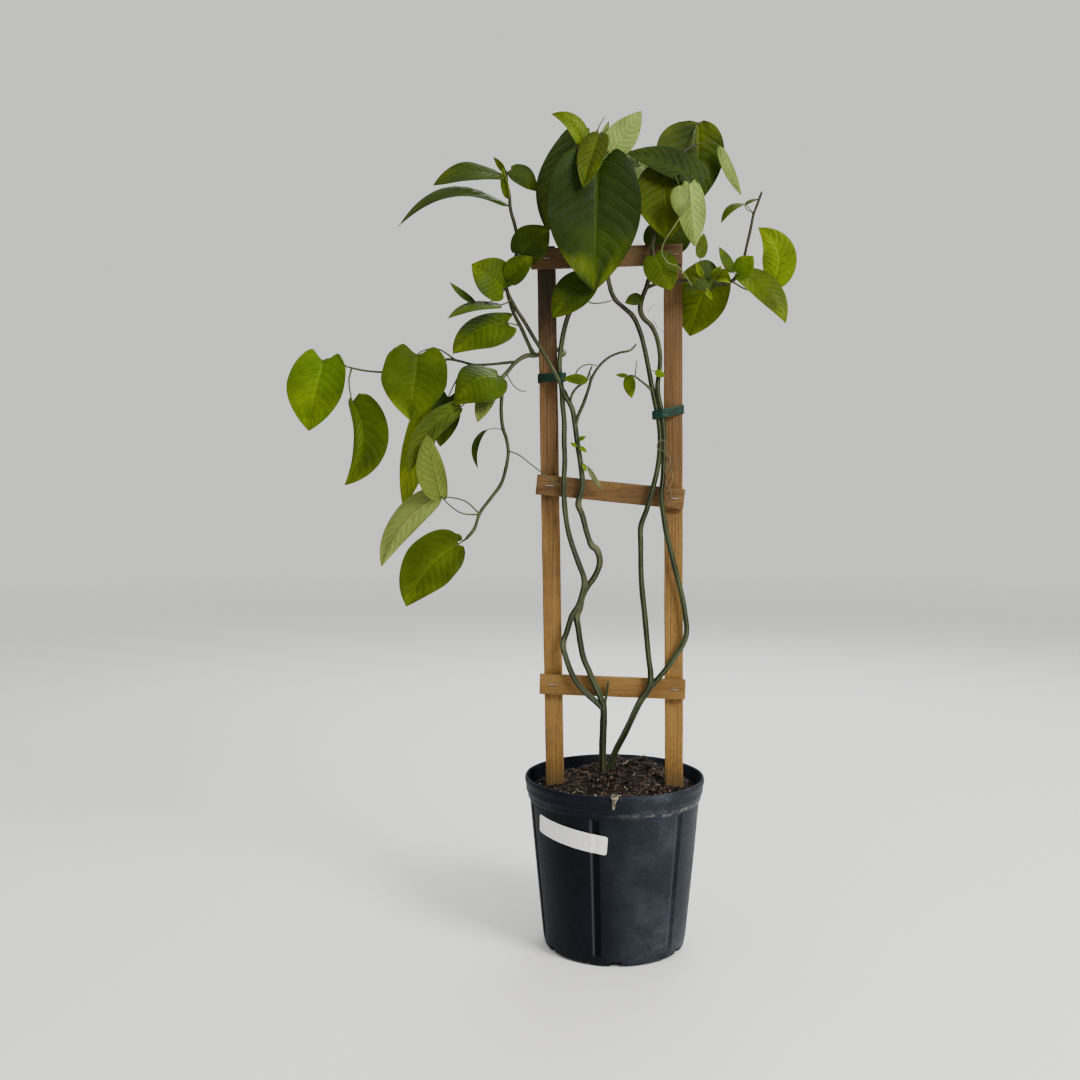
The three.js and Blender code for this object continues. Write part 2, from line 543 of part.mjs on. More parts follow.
// A closed blade: the same grid of triangles on both faces, with a rim between them
function blade(leaf) {
  const rows = leaf.small ? 4 : 5 + (leaf.bend > LEAF.arched ? 1 : 0);
  const columns = leaf.wide < LEAF.narrow ? 2 : 4;
  const width = columns + 1;
  const upper = [];
  const lower = [];
  for (let row = 0; row <= rows; row += 1) {
    for (let column = 0; column <= columns; column += 1) {
      const along = row / rows;
      const across = (2 * column) / columns - 1;
      const point = leafPoint(leaf, along, across);
      const [behind, before] = [Math.max(0, along - NEAR), Math.min(1, along + NEAR)];
      const ahead = leafPoint(leaf, before, across).sub(leafPoint(leaf, behind, across));
      const aside = leafPoint(leaf, along, across + NEAR).sub(leafPoint(leaf, along, across - NEAR));
      const normal = aside.cross(ahead).normalize();
      upper.push(point.clone().addScaledVector(normal, LEAF.thick / 2));
      lower.push(point.clone().addScaledVector(normal, -LEAF.thick / 2));
    }
  }
  const triangles = [];
  const under = upper.length;
  for (let row = 0; row < rows; row += 1) {
    for (let column = 0; column < columns; column += 1) {
      const a = row * width + column;
      const b = a + 1;
      const c = b + width;
      const d = a + width;
      const outer = column < columns / 2 ? [[a, b, c], [a, c, d]] : [[a, b, d], [b, c, d]];
      outer.forEach(([i, j, k]) => triangles.push([i, j, k], [under + i, under + k, under + j]));
    }
  }
  const rim = [];
  for (let column = 0; column < columns; column += 1) rim.push(column);
  for (let row = 0; row < rows; row += 1) rim.push(row * width + columns);
  for (let column = columns; column > 0; column -= 1) rim.push(rows * width + column);
  for (let row = rows; row > 0; row -= 1) rim.push(row * width);
  rim.forEach((a, index) => {
    const b = rim[(index + 1) % rim.length];
    triangles.push([b, a, under + a], [b, under + a, under + b]);
  });
  return solidFromMesh([...upper, ...lower], triangles);
}

const UNDER_BLADE = 0.03; // how far a stalk runs under its blade, as a share of the leaf's length
const RUN_IN = 0.35; // how much of a stalk lies in line with the midrib
const BOW = 0.55; // where along it the stalk bows

// The stalk leaves its root, bows, and runs on into the midrib a little way under the blade
function stalk(leaf) {
  const root = vector(leaf.stalk);
  const base = leafPoint(leaf, 0, 0);
  const inner = leafPoint(leaf, UNDER_BLADE, 0);
  const span = root.distanceTo(base);
  const before = base.clone().addScaledVector(inner.clone().sub(base).normalize(), -RUN_IN * span);
  const bow = root.clone().lerp(before, BOW);
  const thick = leaf.small ? [STALK.small, STALK.small] : [STALK.root, STALK.tip];
  const path = [root, bow, base, inner].map((point) => point.toArray());
  return tube(path, thick, STALK_STEP);
}

function spray({ stems, leaves }) {
  const parts = stems.map(({ thick, path }) => tube(path, thick, STEM_STEP));
  leaves.forEach((leaf) => parts.push(stalk(leaf), blade(leaf)));
  return largest(join(parts));
}

const ROOM_SIDES = 8;

// The room that a spray's stems take, for the holes and joints that they leave in their neighbours
function stemRoom({ stems }, margin) {
  return join(stems.map(({ thick, path }) => tube(path, thick, STEM_STEP, ROOM_SIDES, margin)));
}

// Pot

// Radius and height along the outside of the pot, from the foot to the lip, then down the inside
const OUTSIDE = [
  [FOOT_RADIUS, 0], [89.2, 3], [91.6, 14], [93.4, 32], [107.2, 180],
  [107.8, 188], [110, 190], [110.4, 196], [112.4, 198], [112.8, 207], [RIM_RADIUS, 209],
  [RIM_RADIUS, 214], [113, POT_HEIGHT],
];
const INSIDE = [
  [110.8, POT_HEIGHT], [110.2, 209], [107.6 - WALL, 188], [91.6 - WALL, 14], [82, FLOOR],
];
const WALL_LINE = [OUTSIDE[3], OUTSIDE[4]]; // the straight part of the wall
const GROOVED = { low: 14, high: 185 };
const GROOVE_ANGLES = [-2.6, -1.8, 1.8, 2.6, 16, 30, 44]; // degrees from a groove's middle

function turns() {
  const list = [];
  for (let groove = 0; groove < GROOVES; groove += 1) {
    GROOVE_ANGLES.forEach((angle) => {
      list.push({
        angle: radians(GROOVE_TURN + (360 / GROOVES) * groove + angle),
        groove: Math.abs(angle) < 2,
      });
    });
  }
  return list;
}

// A point at a turn from the front, anticlockwise seen from above
function around(angle, radius, height) {
  return new THREE.Vector3(Math.sin(angle) * radius, -Math.cos(angle) * radius, height);
}

function plainRing([radius, height]) {
  return turns().map(({ angle }) => around(angle, radius, height));
}

function groovedRing([radius, height]) {
  const deep = height > GROOVED.low && height < GROOVED.high ? GROOVE_DEEP : 0;
  return turns().map(({ angle, groove }) => around(angle, radius - (groove ? deep : 0), height));
}

function pot() {
  const shell = solidFromRings([...OUTSIDE.map(groovedRing), ...INSIDE.map(plainRing)]);
  const drains = [];
  for (let drain = 0; drain < GROOVES; drain += 1) {
    const geometry = new THREE.BoxGeometry(DRAIN.wide, DRAIN.reach, DRAIN.high);
    const angle = radians(DRAIN_TURN + (360 / GROOVES) * drain);
    const centre = around(angle, DRAIN.radius, DRAIN.high / 2 - DRAIN.below);
    geometry.rotateZ(angle).translate(...centre.toArray());
    drains.push(solidFromGeometry(geometry));
  }
  return shell.subtract(join(drains));
}

// Soil

const SOIL_RINGS = [1, 0.8, 0.58, 0.36, 0.16]; // radii of the surface's rings, as shares of its edge
const SOIL_GAP = 0.5;
const CRUMB = 5; // roughness of the surface
const BRIM = { middle: 6, fall: 10 }; // the mounds stay under a low cone over the rim

function insideRadius(height) {
  const upper = INSIDE.findIndex(([, level]) => level <= height);
  const [r0, z0] = INSIDE[upper - 1];
  const [r1, z1] = INSIDE[upper];
  return r1 + ((r0 - r1) * (height - z1)) / (z0 - z1);
}

function soilHeight(x, y) {
  return MOUNDS.reduce((sum, { x: mx, y: my, high, spread }) => {
    const square = (x - mx) ** 2 + (y - my) ** 2;
    return sum + high * Math.exp(-square / (2 * spread * spread));
  }, SOIL_EDGE);
}

function soil() {
  const rings = INSIDE.slice().reverse()
    .filter(([, height]) => height < SOIL_EDGE - 5)
    .map(([radius, height]) => plainRing([radius - GAP, height + (height === FLOOR ? GAP : 0)]));
  SOIL_RINGS.forEach((share, index) => {
    rings.push(turns().map(({ angle }) => {
      const edge = around(angle, insideRadius(SOIL_EDGE) - SOIL_GAP, 0).multiplyScalar(share);
      const crumb = index === 0 ? 0 : CRUMB * (random() - 0.5);
      const brim = POT_HEIGHT + BRIM.middle - BRIM.fall * share;
      edge.z = Math.min(soilHeight(edge.x, edge.y), brim) + crumb;
      return edge;
    }));
  });
  return solidFromRings(rings);
}

// Trellis

// A sawn lath between two points of its centre line, widened by `extra` all round
function lath(from, to, wide, thick, depth, extra = 0) {
  const length = Math.hypot(to[0] - from[0], to[1] - from[1]);
  const geometry = new THREE.BoxGeometry(wide + 2 * extra, thick + 2 * extra, length + 2 * extra);
  geometry.rotateY(Math.atan2(to[0] - from[0], to[1] - from[1]));
  geometry.translate((from[0] + to[0]) / 2, depth, (from[1] + to[1]) / 2);
  return solidFromGeometry(geometry);
}

function upright({ low, high }, extra = 0) {
  return lath([low, UPRIGHT.foot], [high, UPRIGHT.top], UPRIGHT.wide, UPRIGHT.thick, 0, extra);
}

const BAR_DEPTH = -(UPRIGHT.thick / 2 + GAP + CROSSBAR.thick / 2);

function crossbar({ left, right }) {
  return lath(left, right, CROSSBAR.high, CROSSBAR.thick, BAR_DEPTH);
}

// Where a crossbar's centre line passes in front of an upright's
function crossing({ left, right }, { low, high }) {
  const lean = (high - low) / (UPRIGHT.top - UPRIGHT.foot);
  const slope = (right[1] - left[1]) / (right[0] - left[0]);
  let height = left[1];
  for (let pass = 0; pass < 3; pass += 1) {
    const x = low + lean * (height - UPRIGHT.foot);
    height = left[1] + slope * (x - left[0]);
  }
  return { x: low + lean * (height - UPRIGHT.foot), z: height, tilt: Math.atan(slope) };
}

// A wire staple with its crown in front of the crossbar, or the wider room of its legs
function staple(wire, legOnly = false) {
  const front = BAR_DEPTH - CROSSBAR.thick / 2 - GAP;
  const reach = STAPLE.leg;
  const solids = [-1, 1].map((hand) => {
    const leg = new THREE.BoxGeometry(wire, reach + (legOnly ? STAPLE.spare : 0), wire);
    leg.translate((hand * STAPLE.crown) / 2, front + reach / 2, 0);
    return solidFromGeometry(leg);
  });
  if (legOnly) return join(solids);
  const crown = new THREE.BoxGeometry(STAPLE.crown + wire, wire, wire);
  crown.translate(0, front - wire / 2 + STAPLE.sunk, 0);
  solids.push(solidFromGeometry(crown));
  return join(solids);
}

function placed(solid, { x, z, tilt }) {
  return solid.rotate([0, (-tilt * 180) / Math.PI, 0]).translate([x, 0, z]);
}

// Label

// A paper rectangle that follows the pot wall and bridges its groove
function label() {
  const { long, high, thick, turn, height, slope, cells } = LABEL;
  const [lowWall, highWall] = WALL_LINE;
  const lean = (highWall[0] - lowWall[0]) / (highWall[1] - lowWall[1]);
  const rings = [];
  for (let cell = 0; cell <= cells; cell += 1) {
    const along = long * (cell / cells - 0.5);
    const corner = (up, out) => {
      const across = high * (up - 0.5);
      const dip = radians(slope);
      const level = height - along * Math.sin(dip) + across * Math.cos(dip);
      const wall = lowWall[0] + lean * (level - lowWall[1]);
      const angle = radians(turn) + (along * Math.cos(dip) + across * Math.sin(dip)) / wall;
      return around(angle, wall + GAP + out, level);
    };
    const outer = [0, 1].map((up) => corner(up, thick));
    const inner = [1, 0].map((up) => corner(up, 0));
    rings.push([...outer, ...inner].reverse());
  }
  return solidFromRings(rings);
}

// Ties

const HULL_SIDES = 12;

// The outline that a taut band takes round a set of circles, as the hull of their points
function hull(circles, margin) {
  const points = circles.flatMap(([x, y, radius]) => Array.from({ length: HULL_SIDES }, (_, index) => {
    const turn = (2 * Math.PI * index) / HULL_SIDES;
    return new THREE.Vector2(x + (radius + margin) * Math.cos(turn), y + (radius + margin) * Math.sin(turn));
  }));
  points.sort((a, b) => a.x - b.x || a.y - b.y);
  const half = (list) => list.reduce((chain, point) => {
    const turnsLeft = () => {
      const [a, b] = chain.slice(-2);
      return (b.x - a.x) * (point.y - a.y) - (b.y - a.y) * (point.x - a.x) > 1e-9;
    };
    while (chain.length > 1 && !turnsLeft()) chain.pop();
    return [...chain, point];
  }, []);
  return [...half(points).slice(0, -1), ...half(points.slice().reverse()).slice(0, -1)];
}

function tie({ height, slope, stems }, { low, high }) {
  const lean = (high - low) / (UPRIGHT.top - UPRIGHT.foot);
  const centre = low + lean * (height - UPRIGHT.foot);
  const corners = [-1, 1].flatMap((hand) => [-1, 1].map((deep) => (
    [centre + (hand * UPRIGHT.wide) / 2, (deep * UPRIGHT.thick) / 2, 0]
  )));
  const circles = [...corners, ...stems];
  const band = new THREE.Shape(hull(circles, TIE.slack + TIE.thick));
  band.holes.push(new THREE.Path(hull(circles, TIE.slack)));
  const geometry = new THREE.ExtrudeGeometry(band, { depth: TIE.high, bevelEnabled: false });
  const position = geometry.attributes.position;
  for (let index = 0; index < position.count; index += 1) {
    const rise = (position.getX(index) - centre) * slope;
    position.setZ(index, position.getZ(index) + height - TIE.high / 2 + rise);
  }
  return solidFromGeometry(geometry);
}

// Assembly

const group = new THREE.Group();

function addPiece(name, solid, finish) {
  const { vertProperties, triVerts } = solid.getMesh();
  const geometry = new THREE.BufferGeometry();
  geometry.setAttribute('position', new THREE.BufferAttribute(vertProperties, 3));
  geometry.setIndex(new THREE.BufferAttribute(triVerts, 1));
  geometry.computeVertexNormals();
  const mesh = new THREE.Mesh(geometry, new THREE.MeshStandardMaterial(COLOURS[finish]));
  mesh.name = name;
  group.add(mesh);
}

const sides = { left: UPRIGHT_LEFT, right: UPRIGHT_RIGHT };

addPiece('pot', pot(), 'pot');
addPiece('label', label(), 'label');

const holes = [
  upright(UPRIGHT_LEFT, GAP),
  upright(UPRIGHT_RIGHT, GAP),
  stemRoom({ stems: SPRAYS.vine_left.stems.slice(0, 1) }, GAP),
  stemRoom({ stems: SPRAYS.vine_right.stems.slice(0, 1) }, GAP),
];
addPiece('soil', largest(soil().subtract(join(holes))), 'soil');
addPiece('dry_scrap', blade(SCRAP), 'scrap');

// Two uprights carry three crossbars, each joint held by one staple
Object.entries(sides).forEach(([side, place]) => {
  const legs = Object.values(CROSSBARS).map((bar) => placed(staple(STAPLE.hole, true), crossing(bar, place)));
  addPiece(`upright_${side}`, upright(place).subtract(join(legs)), 'wood');
  addPiece(`tie_${side}`, tie(TIES[side], place), 'tie');
});
Object.entries(CROSSBARS).forEach(([height, bar]) => {
  const joints = Object.entries(sides).map(([side, place]) => [side, crossing(bar, place)]);
  const legs = joints.map(([, joint]) => placed(staple(STAPLE.hole, true), joint));
  addPiece(`crossbar_${height}`, crossbar(bar).subtract(join(legs)), 'wood');
  joints.forEach(([side, joint]) => {
    addPiece(`staple_${height}_${side}`, placed(staple(STAPLE.wire), joint), 'staple');
  });
});

// Each spray is cut clear of the stems that it grows from
Object.entries(SPRAYS).forEach(([name, plant]) => {
  const solid = spray(plant);
  const hosts = (plant.from ?? []).map((host) => stemRoom(SPRAYS[host], SPRAY_GAP));
  addPiece(name, hosts.length ? largest(solid.subtract(join(hosts))) : solid, plant.from ? 'leaf' : 'stem');
});

export default group;
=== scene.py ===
import math

import bpy
import numpy as np
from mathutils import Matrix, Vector


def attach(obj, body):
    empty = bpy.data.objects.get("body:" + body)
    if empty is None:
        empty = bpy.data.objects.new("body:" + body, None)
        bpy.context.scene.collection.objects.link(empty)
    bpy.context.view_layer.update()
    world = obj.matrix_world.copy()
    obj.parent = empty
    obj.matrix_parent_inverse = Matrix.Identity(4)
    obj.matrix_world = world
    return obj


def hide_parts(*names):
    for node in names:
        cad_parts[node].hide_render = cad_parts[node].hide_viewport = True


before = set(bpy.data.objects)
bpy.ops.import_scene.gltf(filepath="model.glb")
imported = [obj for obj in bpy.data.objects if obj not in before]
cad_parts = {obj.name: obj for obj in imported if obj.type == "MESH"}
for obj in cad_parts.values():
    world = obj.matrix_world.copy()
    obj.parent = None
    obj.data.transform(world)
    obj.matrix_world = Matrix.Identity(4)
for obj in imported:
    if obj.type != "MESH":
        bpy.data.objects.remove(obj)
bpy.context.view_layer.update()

MM = 0.001

# Camera: a 40.8 mm lens on a 36 mm square frame, a little over half a metre up, turned slightly left
CAMERA = dict(place=(0, -1.548, 0.598), down=3.06, left=3.516, lens=40.8)


def placed(name, data):
    """A new object in the scene."""
    made = bpy.data.objects.new(name, data)
    bpy.context.scene.collection.objects.link(made)
    return made


camera = placed("camera", bpy.data.cameras.new("camera"))
camera.location = CAMERA["place"]
camera.rotation_euler = (math.radians(90 - CAMERA["down"]), 0, math.radians(CAMERA["left"]))
camera.data.lens, camera.data.sensor_width, camera.data.clip_end = CAMERA["lens"], 36, 50
bpy.context.scene.camera = camera

GAP = 0.3  # clearance that touching solids keep

POT_HEIGHT = 216
GROOVES = 6
GROOVE_TURN = -12  # degrees from the front to the first groove
GROOVE_DEEP = 1.6
GROOVED = (14, 185)  # heights between which the grooves run
GROOVE_EDGES, NOTCH_EDGES = (-2.6, -1.8), (-4.9, -4.1)  # degrees over which each begins, beside its middle
PALE_EDGE = 3.3  # degrees from a groove's middle to the painted highlight on the edge beside it
DRAIN_TURN = 62  # degrees from the front to a drain notch
NOTCH_HIGH = 7
SIDE_GROOVE = 0.45  # how strongly the painted shade and highlight of the grooves beside the front one are marked
OUTSIDE = [
    (0, 0), (84, 0), (89.2, 3), (91.6, 14), (93.4, 32), (107.2, 180), (107.8, 188), (110, 190),
    (110.4, 196), (112.4, 198), (112.8, 207), (114, 209), (114, 214), (113, 216),
]
INSIDE = [(110.8, 216), (110.2, 209), (105, 188), (89, 14), (82, 3), (0, 3)]
WALL_LINE = ((93.4, 32), (107.2, 180))  # outside of the wall, as two points of (radius, height)
LEDGE_LINE = ((105, 188), (110.2, 209))  # inside, under the rim

SOIL_EDGE = 196
SOIL_SIDE = [(82, 3.4), (88.6, 14), (104.2, 186)]  # (radius, height) from the bottom up
MOUNDS = [(0, 18, 20, 46), (28, 92, 15, 36)]  # x, y, height and spread of each

UPRIGHT = dict(wide=23, thick=10, foot=30, top=883)
UPRIGHTS = dict(left=(-72.8, -87.4), right=(77.2, 70.6))  # x of the centre line at the foot and the top
CROSSBAR = dict(high=25.5, thick=7.5)
CROSSBARS = dict(
    bottom=((-95, 333), (89, 327.5)),
    middle=((-99, 586), (86, 567)),
    top=((-106, 866), (82, 870)),
)
BAR_DEPTH = -(UPRIGHT["thick"] / 2 + GAP + CROSSBAR["thick"] / 2)
STAPLE = dict(crown=10, wire=1.2, leg=13, bend=0.9)
STAPLE_DEPTH = BAR_DEPTH - CROSSBAR["thick"] / 2 - GAP - STAPLE["wire"] / 2 + 0.1  # y of its crown
LATH_CORNER, LATH_BEVEL = 1.1, 0.9  # rounding along a lath's edges and round its ends
WOOD = dict(left=(0.85, 0.88), right=(0.1, 0.97), bar=(0.2, 0.78))  # how dark near the top, by damp and by painted shade, and how pale

LABEL = dict(long=101.6, high=23, thick=0.6, turn=-32, height=161, slope=7.5, corner=3)
TIE = dict(high=11, thick=0.9, slack=0.8)
TIES = dict(
    left=dict(height=719, slope=0.03, stems=[(-68.5, -11.5, 5.2)]),
    right=dict(height=677, slope=0.2, stems=[(51.6, -12, 4.6), (57.5, -13, 4.6)]),
)
SCRAP = dict(base=(3, -95, 205.7), tip=(-1, -121.5, 197.7), wide=13, bend=17, face=(0, -0.3, 1), heart=0.2)

# Leaves
LARGE_GRID, SMALL_GRID = (64, 33), (22, 9)  # rows and columns of a blade
BLADE = 0.8  # thickness
WIDEST = 0.38  # where a leaf is widest, from its base to its tip
NECK = 0.2  # half-width at the base, as a share of the widest
SHOULDER = 0.42  # what a heart-shaped base adds to that
TAPER = 1.9  # how long the sides stay full on their way to the tip
POINT = 0.92  # how bluntly they close there
LOBE = 0.12  # how far the basal lobes sweep back, as a share of the leaf's length
WAVES = 2.5  # waves along a waved margin
VEINS = 9  # pairs of side veins
VEIN_RISE = 0.24  # how far a side vein runs forward on its way to the margin
PUFF = 1.2  # how far the skin stands up between the side veins of a large leaf
RIB_DEEP = 1.3  # depth of the midrib's groove
SAG = 1.6  # how far the sides rise and fall at random
STALK, STALKLET = (2.6, 1.9), (1.4, 1.4)  # thickness at the root and at the blade

# Stems
WINGED_FROM = 3  # thickness above which a stem has wings
OLD_WOOD = (740, 830)  # heights over which a winged stem turns brown


def leaf(stalk, base, tip, wide, face, tone, **shape):
    """A leaf's plan: where its stalk starts, its blade's base, tip and width, the way that its upper side
    looks, its tone, and how it bends, folds, twists, sways and ripples, in millimetres and degrees."""
    return dict(stalk=stalk, base=base, tip=tip, wide=wide, face=face, tone=tone, **shape)


def leaflet(*row, **shape):
    """The plan of a small leaf, which has fewer faces and no puffed skin."""
    return leaf(*row, small=True, **shape)


